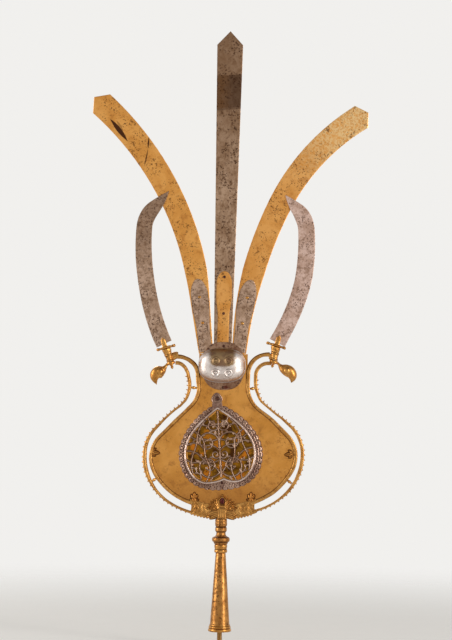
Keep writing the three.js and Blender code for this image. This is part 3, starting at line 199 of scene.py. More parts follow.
def softLamp(name, look):
    # a rectangle of light that faces the point at height aim on the finial's axis
    lamp = bpy.data.lights.new(name, "AREA")
    lamp.shape = "RECTANGLE"
    lamp.size, lamp.size_y = (v / 1000 for v in look["size"])
    lamp.energy, lamp.color = look["power"], lampColour
    made = bpy.data.objects.new(name, lamp)
    scene.collection.objects.link(made)
    made.location = [v / 1000 for v in look["at"]]
    aim = Vector((0, 0, look["aim"] / 1000)) - made.location
    made.rotation_euler = aim.to_track_quat("-Z", "Y").to_euler()


def paleFloor(look, pale):
    # a round matt floor that clears away with its distance from the middle
    paint = Paint("paleFloor")
    at = paint.place()
    reach = paint.node("ShaderNodeVectorMath", {"operation": "LENGTH"}, {0: at}, "Value")
    grain = paint.noise(at, 60) * 0.03 + 0.985
    colour = paint.node("ShaderNodeVectorMath", {"operation": "SCALE"}, {0: pale, "Scale": grain})
    matt = paint.node("ShaderNodeBsdfDiffuse", {}, {"Color": colour})
    clear = paint.node("ShaderNodeBsdfTransparent", {}, {})
    both = paint.node("ShaderNodeMixShader", {}, {0: reach.between(*look["clearing"]), 1: matt, 2: clear})
    paint.node("ShaderNodeOutputMaterial", {}, {"Surface": both})
    angles, sides = circle(look["sides"]), look["sides"]
    rim = np.stack([look["radius"] * np.cos(angles), look["radius"] * np.sin(angles), np.zeros(sides)], 1)
    mesh = bpy.data.meshes.new("floor")
    mesh.from_pydata(rim.tolist(), [], [list(range(sides))])
    floor = bpy.data.objects.new("floor", mesh)
    mesh.materials.append(paint.material)
    scene.collection.objects.link(floor)


studioWorld(studio)
for name, look in lamps.items():
    softLamp(name, look)
paleFloor(floorLook, studio["pale"])
print("camera, light and floor made")


# Gilt: two golds in patches, a brown mottling and the deep colour of worn spots, which also stands for dark
# patina with painted shade where the mesh is marked deep. patch, mottle, pit and grain are sizes in mm;
# gather is the range of a noise over which worn spots crowd; depth is the bump's, in mm
bladeGilt = {
    "brown": (0.54, 0.205, 0.045), "deep": (0.085, 0.032, 0.014), "patch": 52, "mottle": 15, "pit": 4.4,
    "share": 0.85, "rough": 0.35, "grain": 1.3, "depth": 0.06,
}
giltLooks = {
    "giltSheet": {
        "light": (0.81, 0.38, 0.09), "mid": (0.68, 0.295, 0.058), "brown": (0.42, 0.17, 0.042),
        "deep": (0.15, 0.046, 0.014), "patch": 60, "mottle": 17, "blotch": 0.65, "pit": 4.6, "share": 0.5,
        "gather": (0.50, 0.66), "rough": 0.35, "grain": 1.6, "depth": 0.05, "foot": (268, 372),
    },
    "giltBlade": {
        **bladeGilt, "light": (0.93, 0.455, 0.13), "mid": (0.79, 0.345, 0.078), "blotch": 0.6,
        "gather": (0.43, 0.58), "paintedSheen": (330, 520),
    },
    "giltScarred": {
        **bladeGilt, "light": (0.95, 0.465, 0.125), "mid": (0.81, 0.36, 0.08), "blotch": 0.65,
        "gather": (0.42, 0.57), "scars": [  # start and end (along, across), half width, share
            ((524, -10.0), (462, -14.2), 5.2, 1.0), ((446, 26), (426, 8), 2.7, 1.0),
            ((429, 11), (400, -19), 2.5, 0.9), ((512, -3), (484, -8), 3.0, 0.5),
        ],
    },
    "giltCast": {
        "light": (0.70, 0.36, 0.10), "mid": (0.50, 0.22, 0.05), "brown": (0.30, 0.112, 0.026),
        "deep": (0.095, 0.03, 0.009), "patch": 15, "mottle": 6, "blotch": 0.7, "pit": 3.4, "share": 0.6,
        "gather": (0.42, 0.6), "rough": 0.31, "grain": 1.1, "depth": 0.16,
    },
    "giltWorn": {
        "light": (0.545, 0.262, 0.076), "mid": (0.36, 0.15, 0.036), "brown": (0.19, 0.066, 0.017),
        "deep": (0.07, 0.022, 0.01), "patch": 22, "mottle": 8, "blotch": 0.9, "pit": 4.6, "share": 0.95,
        "gather": (0.38, 0.54), "rough": 0.36, "grain": 1.5, "depth": 0.14,
        "zone": (120, 44), "side": (1.5, 8),
    },
    "clipGilt": {
        "light": (0.58, 0.27, 0.065), "mid": (0.46, 0.19, 0.04), "brown": (0.26, 0.09, 0.022),
        "deep": (0.07, 0.02, 0.008), "patch": 12, "mottle": 5, "blotch": 0.8, "pit": 3.0, "share": 0.7,
        "gather": (0.42, 0.6), "rough": 0.42, "grain": 1.1, "depth": 0.12,
    },
    "rodBrass": {
        "light": (0.42, 0.23, 0.075), "mid": (0.27, 0.135, 0.04), "brown": (0.16, 0.07, 0.022),
        "deep": (0.06, 0.02, 0.01), "patch": 20, "mottle": 6, "blotch": 0.6, "pit": 3.0, "share": 0.4,
        "gather": (0.5, 0.65), "rough": 0.32, "grain": 1.0, "depth": 0.05,
    },
}
# the gold of the painted sheen towards a blade's tip
paintedSheenGold = (1.0, 0.69, 0.33)


def scarMark(paint, start, end, half):
    # a lens between two points (along, across) of a blade: half * 4 t (1 - t) wide each way, its edge ragged
    t = (paint.mark("along") - start[0]) / (end[0] - start[0])
    middle = t * (end[1] - start[1]) + start[1]
    off = (paint.mark("across") - middle).size() + paint.noise(paint.along(), 3.5) * 1.6 - 0.6
    return ((t * (1 - t)).top(0.0) * 4 * half - off.top(0.0)).between(0.0, 0.9)


def pitting(paint, at, size, where, edge):
    # specks that crowd by where, and a few pits 2.2 times as wide; a noise added to both makes them ragged
    ragged = paint.noise(at, size * 0.45, 2.0, 0.6) * 0.5 - 0.25
    specks = (1 - (paint.cells(at, size) + ragged).between(*edge)) * where
    pits = (1 - (paint.cells(at, size * 2.2) + ragged * 0.7).between(0.08, 0.18)) * (where * 0.6 + 0.4)
    return specks.top(pits)


def gilding(name, look):
    # worn gold: patches between two golds, brown mottling, and specks and pits where the gold is through
    paint = Paint(name)
    at = paint.place()
    up, pit = paint.axis(at, 2), look["pit"]
    patches = paint.noise(at, look["patch"], 4.0, 0.6, 0.6).between(0.36, 0.64)
    gold = paint.mix(patches, look["mid"], look["light"])
    mottle = paint.noise(at, look["mottle"], 5.0, 0.68, 0.4)
    gold = paint.mix(mottle.between(0.5, 0.68) * look["blotch"], gold, look["brown"])
    gold = paint.mix((1 - mottle.between(0.32, 0.46)) * look["blotch"] * 0.8, gold, look["light"])
    if "foot" in look:  # painted shade: browner and darker below
        gold = paint.mix((1 - up.between(*look["foot"])) * 0.75, gold, look["brown"])
    where = paint.noise(at, look["patch"] * 0.8, 3.0, 0.6).between(*look["gather"])
    if "zone" in look:  # most worn near one height
        height, reach = look["zone"]
        where = where.top(1 - ((up - height) / reach).size().between(0.4, 1.1))
    if "side" in look:  # fewer worn spots towards the right: less wear there, and a painted highlight on that side
        where = where * (1 - paint.axis(at, 0).between(*look["side"]) * 0.8)
    stain = paint.noise(at, pit * 1.3, 3.0, 0.7).between(0.55, 0.65) * where * 0.9
    if "paintedSheen" in look:  # painted sheen: brighter gold in spots towards the tip
        paintedSheen = paint.mark("along").between(*look["paintedSheen"])
        bright = paintedSheen * paint.noise(at, pit, 3.0, 0.7).between(0.36, 0.6)
        gold = paint.mix(bright * 0.9, gold, paintedSheenGold)
    spots = pitting(paint, at, pit, where, (0.14, 0.32)).top(stain)
    # worn spots, and dark patina with painted shade where the mesh is marked deep: grooves, seams, edges
    wornAndShaded = (spots * look["share"]).top(paint.mark("deep") * 0.88)
    for start, end, half, share in look.get("scars", []):
        wornAndShaded = wornAndShaded.top(scarMark(paint, start, end, half) * share)
    grain = paint.noise(at, look["grain"], 4.0, 0.65)
    rough = grain * 0.14 + (look["rough"] - 0.07) + wornAndShaded * 0.25 + (mottle - 0.5) * 0.12
    height = grain * 0.5 + mottle * 1.5 - wornAndShaded * 0.8
    return paint.done(paint.mix(wornAndShaded, gold, look["deep"]), rough, height, look["depth"])


# Steel: as the gilt. streak stretches the pattern along a blade; band, fade and dusk are lengths along it;
# rust is a spot's x, z, half width and half height
steelLooks = {
    "centreSteel": {
        "light": (0.56, 0.37, 0.245), "mid": (0.37, 0.22, 0.13), "brown": (0.225, 0.12, 0.062),
        "deep": (0.05, 0.02, 0.01), "streak": 2.2, "pit": 4.6, "share": 0.95, "gather": (0.41, 0.55),
        "rough": 0.34, "band": (489, 556), "fade": (330, 520),
    },
    "sideSteel": {
        "light": (0.66, 0.45, 0.325), "mid": (0.46, 0.29, 0.19), "brown": (0.24, 0.132, 0.075),
        "deep": (0.06, 0.026, 0.014), "streak": 1.6, "pit": 4.2, "share": 0.9, "gather": (0.42, 0.56),
        "rough": 0.34, "dusk": (150, 235),
    },
    "rightSteel": {
        "light": (0.86, 0.61, 0.51), "mid": (0.60, 0.385, 0.29), "brown": (0.33, 0.19, 0.125),
        "deep": (0.07, 0.03, 0.018), "pit": 4.2, "share": 0.9, "gather": (0.42, 0.56), "rough": 0.34,
    },
    "traceryWire": {
        "light": (0.55, 0.38, 0.285), "mid": (0.36, 0.215, 0.14), "brown": (0.25, 0.125, 0.07),
        "deep": (0.045, 0.016, 0.008), "pit": 3.6, "share": 0.35, "gather": (0.5, 0.66), "rough": 0.36,
    },
    "seatSteel": {
        "light": (0.42, 0.255, 0.165), "mid": (0.25, 0.13, 0.075), "brown": (0.18, 0.072, 0.04),
        "deep": (0.05, 0.018, 0.014), "pit": 4.4, "share": 0.85, "gather": (0.42, 0.58), "rough": 0.38,
        "rust": (4.5, 521.5, 6.5, 4.0),
    },
    "piercedSteel": {
        "light": (0.49, 0.325, 0.245), "mid": (0.31, 0.185, 0.13), "brown": (0.20, 0.10, 0.078),
        "deep": (0.055, 0.02, 0.016), "pit": 3.6, "share": 0.6, "gather": (0.44, 0.6), "rough": 0.32,
    },
    "brightSteel": {
        "light": (0.78, 0.63, 0.56), "mid": (0.56, 0.41, 0.34), "brown": (0.36, 0.225, 0.17),
        "deep": (0.075, 0.03, 0.02), "pit": 3.6, "share": 0.35, "gather": (0.5, 0.66), "rough": 0.26,
    },
}
rustRed, bandBrown = (0.10, 0.018, 0.014), (0.125, 0.05, 0.014)


def rustSpot(paint, place, mottle):
    # a round stain with a blotchy edge: the distance from its middle in its own half width and half height
    x, z, wide, high = place
    at = paint.place()
    aside, up = (paint.axis(at, 0) - x) / wide, (paint.axis(at, 2) - z) / high
    return 1 - ((aside * aside + up * up) ** 0.5 + mottle * 0.6 - 0.3).between(0.6, 1.1)


def stainedBand(paint, ends, even, mottle, colour, deep):
    # a brown stretch of a blade between two lengths, deeper on its right, with a dark line at its lower end
    low, high = ends
    across = paint.mark("across")
    reach = paint.mark("along") + paint.noise(even, 9.0) * 6 - 3 + across * 0.07
    band = reach.between(low - 1.5, low + 3) * (1 - reach.between(high - 1, high + 1.5))
    stain = paint.mix((across + paint.noise(even, 12.0) * 30 - 15).between(-8, 14), deep, bandBrown)
    colour = paint.mix(band * (mottle * 0.25 + 0.55), colour, stain)
    foot = 1 - (reach - (low - 1)).size().between(0.4, 3.2)
    return paint.mix(foot * 0.45, colour, deep)


def steel(name, look):
    # pitted steel: clouds between two greys, brown mottling, and dark pits that gather in patches
    paint = Paint(name)
    onBlade = "streak" in look
    at = paint.along(look["streak"]) if onBlade else paint.place()
    even = paint.along() if onBlade else at
    patches = paint.noise(even, 38.0, 4.0, 0.6)
    bright = (paint.noise(at, 5.0, 4.0, 0.6, 0.3) * 0.35 + patches * 0.65).between(0.40, 0.60)
    colour = paint.mix(bright, look["mid"], look["light"])
    mottle = paint.noise(even, 11.0, 5.0, 0.7, 0.4)
    colour = paint.mix(mottle.between(0.48, 0.64) * 0.75, colour, look["brown"])
    gather = paint.noise(even, 30.0, 3.0, 0.6).between(*look["gather"])
    if "fade" in look:
        colour = paint.mix(paint.mark("along").between(*look["fade"]) * 0.62, colour, look["brown"])
    if "dusk" in look:
        dusk = paint.mark("along").between(*look["dusk"]) * patches.between(0.3, 0.6)
        colour = paint.mix(dusk * 0.7, colour, look["brown"])
        gather = gather.top(dusk * 0.9)
    rust = paint.noise(even, look["pit"] * 1.2, 3.0, 0.7).between(0.53, 0.63) * gather * 0.9
    spots = pitting(paint, even, look["pit"], gather, (0.17, 0.36)).top(rust)
    # pits, and dark patina with painted shade where the mesh is marked deep: grooves, seams, edges
    wornAndShaded = (spots * look["share"]).top(paint.mark("deep") * 0.9)
    if "rust" in look:
        colour = paint.mix(rustSpot(paint, look["rust"], mottle) * 0.85, colour, rustRed)
    if "band" in look:
        colour = stainedBand(paint, look["band"], even, mottle, colour, look["deep"])
    grain = paint.noise(at, 1.2, 3.0, 0.6)
    rough = grain * 0.12 + (look["rough"] - 0.06) + wornAndShaded * 0.25 + (mottle - 0.5) * 0.15
    height = grain * 0.3 + mottle * 0.6 - wornAndShaded * 0.8
    return paint.done(paint.mix(wornAndShaded, colour, look["deep"]), rough, height, 0.12)


silverLook = {  # band is the dark field, tarnish and painted reflection: middle x and z, half width, half height
    "light": (0.86, 0.78, 0.74), "mid": (0.64, 0.54, 0.49), "dull": (0.38, 0.29, 0.225),
    "tarnishAndReflection": (0.23, 0.12, 0.062), "olive": (0.36, 0.22, 0.095), "deep": (0.08, 0.04, 0.02),
    "band": (-2.4, 562.0, 26.0, 9.0), "foot": 540.0,
}


def silvering(name, look):
    # polished silver with clouds; round the upper roundels a dark field, tarnish and a painted dark
    # reflection;
    # in the chasing and round the flange, dark patina with painted shade
    paint = Paint(name)
    at = paint.place()
    up, aside = paint.axis(at, 2), paint.axis(at, 0)
    cloud = paint.noise(at, 15.0, 4.0, 0.6, 0.5)
    fine = paint.noise(at, 3.0, 3.0, 0.6)
    colour = paint.mix(cloud.between(0.35, 0.65), look["mid"], look["light"])
    x, z, halfWidth, halfHeight = look["band"]
    wide = (aside - x) / halfWidth
    above = (up - z) / halfHeight - wide * wide * wide * wide * 0.9
    inside = (1 - wide.size() + fine * 0.5 - 0.25).between(-0.16, 0.22)
    band = (above + fine * 0.9 - 0.45).between(-0.25, 0.45) * inside
    # the dark field: tarnish with a painted dark reflection
    tarnishAndReflection = paint.mix(cloud.between(0.4, 0.6), look["tarnishAndReflection"], look["olive"])
    colour = paint.mix(band * 0.95, colour, tarnishAndReflection)
    foot = (look["foot"] - up + cloud * 10 - 5).between(-4.0, 6.0)
    colour = paint.mix(foot * 0.3, colour, look["dull"])
    spots = (1 - paint.cells(at, 3.6).between(0.08, 0.22)) * paint.noise(at, 12.0).between(0.42, 0.6)
    # pits, and in the chasing and round the flange dark patina with painted shade
    wornAndShaded = (spots * 0.55).top(paint.mark("deep") * 0.75)
    scratch = paint.noise(paint.place((1, 1, 0.08)), 0.6, 2.0, 0.5)
    rough = fine * 0.1 + 0.33 + band * 0.04 + wornAndShaded * 0.25 + foot * 0.1
    height = scratch * 0.2 + fine * 0.3 - wornAndShaded * 0.5
    return paint.done(paint.mix(wornAndShaded, colour, look["deep"]), rough, height, 0.05)


def oliveBacking(name):
    # a dull gilt ground that has gone olive and orange in patches
    paint = Paint(name)
    at = paint.place()
    patch = paint.noise(at, 27.0, 3.0, 0.6, 0.8)
    stops = [
        (0.36, (0.075, 0.026, 0.006)), (0.45, (0.20, 0.09, 0.008)), (0.53, (0.30, 0.13, 0.011)),
        (0.62, (0.60, 0.19, 0.016)),
    ]
    colour = paint.node("ShaderNodeValToRGB", {"stops": stops}, {0: patch})
    grime = paint.noise(at, 8.0, 4.0, 0.7).between(0.5, 0.68)
    colour = paint.mix(grime * 0.75, colour, (0.04, 0.013, 0.008))
    return paint.done(colour, grime * 0.2 + 0.45, paint.noise(at, 1.5), 0.1)


def darkIron(name):
    # two browns over a scaly noise
    paint = Paint(name)
    scale = paint.noise(paint.place(), 3.0, 4.0, 0.7)
    colour = paint.mix(scale.between(0.4, 0.65), (0.05, 0.02, 0.015), (0.15, 0.055, 0.03))
    return paint.done(colour, scale * 0.3 + 0.4, scale, 0.2, metal=0.8)


def turnedWood(name):
    # straight grain up the spigot, with darker pores
    paint = Paint(name)
    grain = paint.noise(paint.place((1, 1, 14)), 1.6, 4.0, 0.6, 0.4)
    pores = paint.noise(paint.place((1, 1, 30)), 0.7, 2.0, 0.6).between(0.58, 0.68)
    colour = paint.mix(grain.between(0.35, 0.65), (0.24, 0.115, 0.045), (0.42, 0.22, 0.095))
    colour = paint.mix(pores * 0.6, colour, (0.09, 0.04, 0.016))
    return paint.done(colour, grain * 0.2 + 0.5, grain - pores, 0.12, metal=0.0)


def garnet(name):
    # a deep red that clouds a little
    paint = Paint(name)
    cloud = paint.noise(paint.place(), 2.5, 3.0, 0.6, 0.5)
    colour = paint.mix(cloud.between(0.35, 0.7), (0.035, 0.003, 0.003), (0.17, 0.009, 0.008))
    return paint.done(colour, cloud * 0.1 + 0.2, cloud, 0.02, metal=0.0, **{"Specular IOR Level": 0.2})


finishes = {name: gilding(name, look) for name, look in giltLooks.items()}
finishes |= {name: steel(name, look) for name, look in steelLooks.items()}
finishes["silvered"] = silvering("silvered", silverLook)
plainFinishes = {"olive": oliveBacking, "iron": darkIron, "wood": turnedWood, "garnet": garnet}
finishes |= {name: make(name) for name, make in plainFinishes.items()}
print("finishes made:", ", ".join(finishes))


# Surfaces: a grid of points p[..., i, j, xyz] that closes j on itself; loop closes i too, caps fill both
# ends, and marks are numbers at each point for the finishes to read
def surface(p, loop=False, caps=False, **marks):
    return {"p": np.asarray(p, float), "loop": loop, "caps": caps, "marks": marks}


def gridFaces(shape, loop, caps):
    # each cell's four corners, taken from the table of point numbers and its shifted copies
    index = np.arange(shape[0] * shape[1]).reshape(shape)
    rows = np.vstack([index, index[:1]]) if loop else index
    rows = np.hstack([rows, rows[:, :1]])
    quads = np.stack([rows[:-1, :-1], rows[1:, :-1], rows[1:, 1:], rows[:-1, 1:]], -1).reshape(-1, 4)
    return quads, [index[0][::-1], index[-1]] if caps else []


def makePiece(name, parts, finish, node, body="finial", sharp=36):
    # the parts' grids as one mesh, in metres; joining the doubled points closes poles and pointed ends
    points, faces, start = [], [], 0
    marks = {key: [] for part in parts for key in ("deep", *part["marks"])}
    for part in parts:
        copies = part["p"].reshape(-1, *part["p"].shape[-3:])
        quads, ends = gridFaces(copies.shape[1:3], part["loop"], part["caps"])
        starts = start + np.arange(len(copies)) * copies.shape[1] * copies.shape[2]
        faces += (quads[None] + starts[:, None, None]).reshape(-1, 4).tolist()
        for end in ends:
            faces += (end[None] + starts[:, None]).tolist()
        points.append(copies.reshape(-1, 3))
        for key, values in marks.items():
            value = part["marks"].get(key, 0.0)
            values.append(np.broadcast_to(value, part["p"].shape[:-1]).reshape(-1))
        start += len(points[-1])
    mesh = bpy.data.meshes.new(name)
    mesh.from_pydata((np.concatenate(points) / 1000).tolist(), [], faces)
    for key, values in marks.items():
        store = mesh.attributes.new(key, "FLOAT", "POINT").data
        store.foreach_set("value", np.concatenate(values).astype(np.float32))
    shell = bmesh.new()
    shell.from_mesh(mesh)
    bmesh.ops.remove_doubles(shell, verts=shell.verts, dist=2e-6)
    bmesh.ops.recalc_face_normals(shell, faces=shell.faces)
    shell.to_mesh(mesh)
    shell.free()
    mesh.shade_smooth()
    mesh.set_sharp_from_angle(angle=radians(sharp))
    mesh.materials.append(finishes[finish])
    made = bpy.data.objects.new(name, mesh)
    scene.collection.objects.link(made)
    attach(made, body)
    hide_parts(node)


def grid(x, y, z):
    # points whose x, y and z are spread over one another's rows and columns
    return np.stack(np.broadcast_arrays(x, y, z), -1)


def unit(v):
    # v held between 0 and 1
    return np.clip(v, 0, 1)


def hill(v, width=1.0):
    # 1 where v is 0, falling away smoothly on both sides: e to the power -(v / width) squared
    return np.exp(-((v / width) ** 2))


def soft(v, power):
    # the size of v to a power, with v's own sign
    return np.sign(v) * np.abs(v) ** power


def rounded(points, per=6, closed=False):
    # a smooth line through every point: its slope at each is half the step between the two neighbours
    p = np.array(points, float)
    q = np.vstack([p[-1:], p, p[:2]]) if closed else np.vstack([2 * p[0] - p[1], p, 2 * p[-1] - p[-2]])
    t = (np.arange(per) / per)[None, :, None]
    a, b, c, d = q[:-3, None], q[1:-2, None], q[2:-1, None], q[3:, None]
    made = b + t * ((c - a) / 2 + t * ((2 * a - 5 * b + 4 * c - d) / 2 + t * (3 * (b - c) + d - a) / 2))
    made = made.reshape(-1, p.shape[1])
    return made if closed else np.vstack([made, p[-1:]])


def lengthsOf(line):
    # how far along the line each point is: the running sum of its steps
    return np.concatenate([[0.0], np.cumsum(np.linalg.norm(np.diff(line, axis=0), axis=1))])


def pointsAt(lengths, line, where):
    # the line's points at the lengths asked for
    return np.stack([np.interp(where, lengths, values) for values in line.T], 1)


def evenly(line, count, closed=False):
    # count points at even steps along the line
    whole = np.vstack([line, line[:1]]) if closed else line
    lengths = lengthsOf(whole)
    steps = np.linspace(0, lengths[-1], count + 1)[:-1] if closed else np.linspace(0, lengths[-1], count)
    return pointsAt(lengths, whole, steps)


def leftOf(line, closed=False):
    # the unit vector to the left of the line: its direction turned a quarter
    step = np.roll(line, -1, 0) - np.roll(line, 1, 0) if closed else np.gradient(line, axis=0)
    step = step / np.linalg.norm(step, axis=1, keepdims=True)
    return np.stack([-step[:, 1], step[:, 0]], 1)


def beside(line, left, closed=False):
    # x and z of rows of points, each row to the left of one point of the line by its own amounts
    aside = leftOf(line, closed)
    return line[:, :1] + aside[:, :1] * left, line[:, 1:] + aside[:, 1:] * left


def runLine(start, heading, runs, step=1.5):
    # straight runs (length, 0) and arcs (radius, degrees to the left); gives its points and last heading
    x, z = start
    parts = [np.array([[x, z]], float)]
    for size, turn in runs:
        if not size:
            continue
        if turn:
            radius = np.sign(turn) * size
            count = max(4, int(abs(radians(turn)) * size / step))
            angles = np.radians(heading + turn * np.arange(1, count + 1) / count)
            middleX, middleZ = x - radius * sin(radians(heading)), z + radius * cos(radians(heading))
            part = np.stack([middleX + radius * np.sin(angles), middleZ - radius * np.cos(angles)], 1)
            heading += turn
        else:
            count = max(1, int(abs(size) / step))
            ahead = np.array([cos(radians(heading)), sin(radians(heading))])
            part = np.array([x, z]) + np.outer(size * np.arange(1, count + 1) / count, ahead)
        parts.append(part)
        x, z = part[-1]
    return np.concatenate(parts), heading


def sweep(line, section, scale=1.0, closed=False):
    # a section of (left, y) pairs set square to a line in X and Z: point + left * scale * section
    section = np.asarray(section)
    left = np.broadcast_to(scale, len(line))[:, None] * section[:, 0]
    x, z = beside(line, left, closed)
    return grid(x, section[:, 1], z)


def turned(profile, sides=72):
    # a profile of (radius, z) carried round the Z axis
    profile = np.asarray(profile, float)
    r, z = profile[:, :1], profile[:, 1:]
    return grid(r * np.cos(circle(sides)), r * np.sin(circle(sides)), z)


def superRings(middle, rings, squareness, count=96):
    # rings of (half width, half height, y), each a rounded oblong: cos and sin to the power 2 / squareness
    rings = np.asarray(rings, float)
    x = middle[0] + rings[:, :1] * soft(np.cos(circle(count)), 2 / squareness)
    z = middle[1] + rings[:, 1:2] * soft(np.sin(circle(count)), 2 / squareness)
    return grid(x, rings[:, 2:], z)


def stacked(outline, middle, levels):
    # an outline drawn in to its middle by a share, at levels of (share, y, how dark)
    middle, levels = np.asarray(middle), np.asarray(levels, float)
    flat = middle + (outline - middle) * levels[:, None, :1]
    return surface(grid(flat[..., 0], levels[:, 1:2], flat[..., 1]), deep=levels[:, 2:])


def twoFaced(x, frontY, backY, z, caps=False, **marks):
    # a thin solid: its front, then its back run the other way; a mark is one for both faces or a pair
    front, back = grid(x, frontY, z), grid(x, backY, z)
    join = lambda one, other: np.concatenate([one, other[:, ::-1]], 1)
    spread = lambda mark: np.broadcast_to(mark, front.shape[:2])
    both = {key: join(*map(spread, v if isinstance(v, tuple) else (v, v))) for key, v in marks.items()}
    return surface(join(front, back), caps=caps, **both)


def leaf(foot, heading, length, width, base, rise, hook=0.0, ribs=1, count=16, across=11):
    # a leaf on a face at y = -base: its spine turns by hook, half its width is a sine of the way along,
    # and it rises over its width by 1 - t * t, less a groove along each rib
    s, t = np.linspace(0, 1, count)[:, None], np.linspace(-1, 1, across)[None, :]
    angle = np.radians(heading + hook * s[:, 0] ** 1.5)
    steps = np.stack([np.cos(angle), np.sin(angle)], 1) * length / (count - 1)
    spine = np.asarray(foot) + np.vstack([[0, 0], np.cumsum(steps[:-1], 0)])
    half = width / 2 * np.sin(pi * (0.12 + 0.88 * s)) ** 0.7
    half[-1] = 0
    full = np.sqrt(unit(np.sin(pi * (0.08 + 0.9 * s))))
    groove = hill(t, 0.2) if ribs == 1 else 0.5 - 0.5 * np.cos(2 * pi * ribs * (t + 1) / 2)
    top = -(base + rise * full * ((1 - t * t) ** 0.7 - 0.5 * groove * (1 - t * t)))
    x = spine[:, :1] - np.sin(angle)[:, None] * half * t
    z = spine[:, 1:] + np.cos(angle)[:, None] * half * t
    # the rib grooves and the edges are marked dark, the back wholly: patina with painted shade
    return twoFaced(x, top, 0.6 - base, z, deep=(unit(groove * 0.6 + t**4 * 0.95), 1.0))


def ball(at, radius, flat=1.0, sides=14, rings=9):
    # a round bead, flattened front to back
    up = np.linspace(-pi / 2, pi / 2, rings)[:, None]
    x, y = radius * np.cos(up) * np.cos(circle(sides)), radius * flat * np.cos(up) * np.sin(circle(sides))
    return surface(grid(at[0] + x, at[1] + y, at[2] + radius * np.sin(up)))


def ripple(at, size, seed, waves=5):
    # a gentle unevenness: a few sines of unlike lengths and seeded starts, added up
    picks = np.random.default_rng(seed)
    lengths, starts = size * picks.uniform(0.5, 1.8, waves), picks.uniform(0, 2 * pi, waves)
    return sum(np.sin(2 * pi * at / length + begin) for length, begin in zip(lengths, starts)) / waves


def scaled(parts, by):
    # each part's points times by, one number for each of x, y and z
    return [{**part, "p": part["p"] * np.array(by)} for part in parts]


def mirrored(parts, sign):
    # the parts as modelled for the right where sign is 1, and their mirror image where it is -1
    return scaled(parts, (sign, 1, 1))


def facing(parts, face):
    # the parts as modelled for the front where face is -1, and the same on the back where it is 1
    return scaled(parts, (1, -face, 1))


def leanedPart(part, angle):
    # turned about the Y axis, by degrees from Z towards X
    a, (x, y, z) = radians(angle), np.moveaxis(part["p"], -1, 0)
    return {**part, "p": np.stack([x * cos(a) + z * sin(a), y, z * cos(a) - x * sin(a)], -1)}


def movedPart(part, by):
    return {**part, "p": part["p"] + np.asarray(by, float)}


def reeded(runs, first, last, width):
    # runs of a rounded profile, one over the other, between two end points; dark in the grooves between them
    # the grooves are marked dark: patina with painted shade
    runs = [rounded(run, 5) for run in runs]
    grooves = np.array([run[-1, 1] for run in runs[:-1]])
    profile = np.vstack([[first], *runs, [last]])
    return profile, hill(np.abs(profile[:, 1:] - grooves).min(1), width)[:, None]


# Rod, spigot and socket
seam = 0.3
stand = {"rod": 4.9, "rodTop": 133, "mouth": 33, "socketTop": 190, "spigotFoot": 35, "spigotTop": 163}
socketLook = {"foot": 19.6, "top": 10.2, "wall": 2.2, "topWall": 5, "ring": 14, "bore": 4.3, "dent": 0.16}
ringLook = {  # (radius, height) over the socket's mouth: a torus, a smaller one and a lip
    "front": [(21.9, 0.2), (23.0, 1.6), (23.3, 3.4), (22.8, 5.2), (21.6, 6.2)],
    "upper": [(21.2, 6.7), (22.1, 7.8), (22.3, 9.2), (21.6, 10.6), (20.9, 11.2)],
    "lip": [(20.6, 11.6), (21.0, 12.4), (20.8, 13.4), (20.3, 14)],
    "foot": 21.2, "grooves": [(6.4, 0.8), (11.4, 0.7)],
}


def socketRadius(z):
    # plain behind the foot ring, then drawn in evenly to the top
    tall = stand["socketTop"] - stand["mouth"] - socketLook["ring"]
    share = unit((z - stand["mouth"] - socketLook["ring"]) / tall)
    return socketLook["foot"] + (socketLook["top"] - socketLook["foot"]) * share


def makeStand():
    # a rod with eased ends, and a spigot that fills the socket's taper but for a seam
    rod, top = stand["rod"], stand["rodTop"]
    profile = [(0, 0), (rod - 0.5, 0), (rod, 0.5), (rod, 20), (rod, 60), (rod, top - 1), (rod - 1, top)]
    profile.append((0, top))
    makePiece("rodTurned", [surface(turned(profile, 48))], "rodBrass", "mounting_rod", "stand")
    foot, head, inner = stand["spigotFoot"], stand["spigotTop"], rod + seam
    z = np.array([foot, 47, 90, 130, head - 1.5, head])
    r = socketRadius(z) - socketLook["wall"] - seam
    r[-1] -= 1.2
    profile = [(0, top + seam), (inner, top + seam), (inner, foot), *zip(r, z), (0, head)]
    makePiece("spigotTurned", [surface(turned(profile, 64))], "wood", "spigot", "stand", sharp=25)


def makeSocket():
    # the outside is drawn in to the top, and dented a little as beaten sheet is
    mouth, top, bore, dent = stand["mouth"], stand["socketTop"], socketLook["bore"], socketLook["dent"]
    z = np.linspace(mouth + 0.4, top - 0.8, 90)
    outside = np.stack([socketRadius(z), z], 1)
    ceiling = top - socketLook["topWall"]
    inner = np.array([ceiling, mouth + socketLook["ring"], mouth])
    inside = np.stack([socketRadius(inner) - socketLook["wall"], inner], 1)
    head = [(socketRadius(top) - 0.6, top), (bore, top), (bore, ceiling)]
    profile = np.vstack([[(socketRadius(mouth) - 0.4, mouth)], outside, head, inside])
    p = turned(profile, 96)
    angle = np.arctan2(p[..., 1], p[..., 0])
    beaten = ripple(p[..., 2] + 14 * np.sin(angle), 34, 3) * np.sin(2 * angle + p[..., 2] / 31) - 1
    out = np.arange(len(profile)) <= len(outside)
    p[..., :2] *= (1 + np.where(out[:, None], dent * beaten, 0) / np.hypot(p[..., 0], p[..., 1]))[..., None]
    makePiece("socketTaper", [surface(p, loop=True)], "giltWorn", "socket")


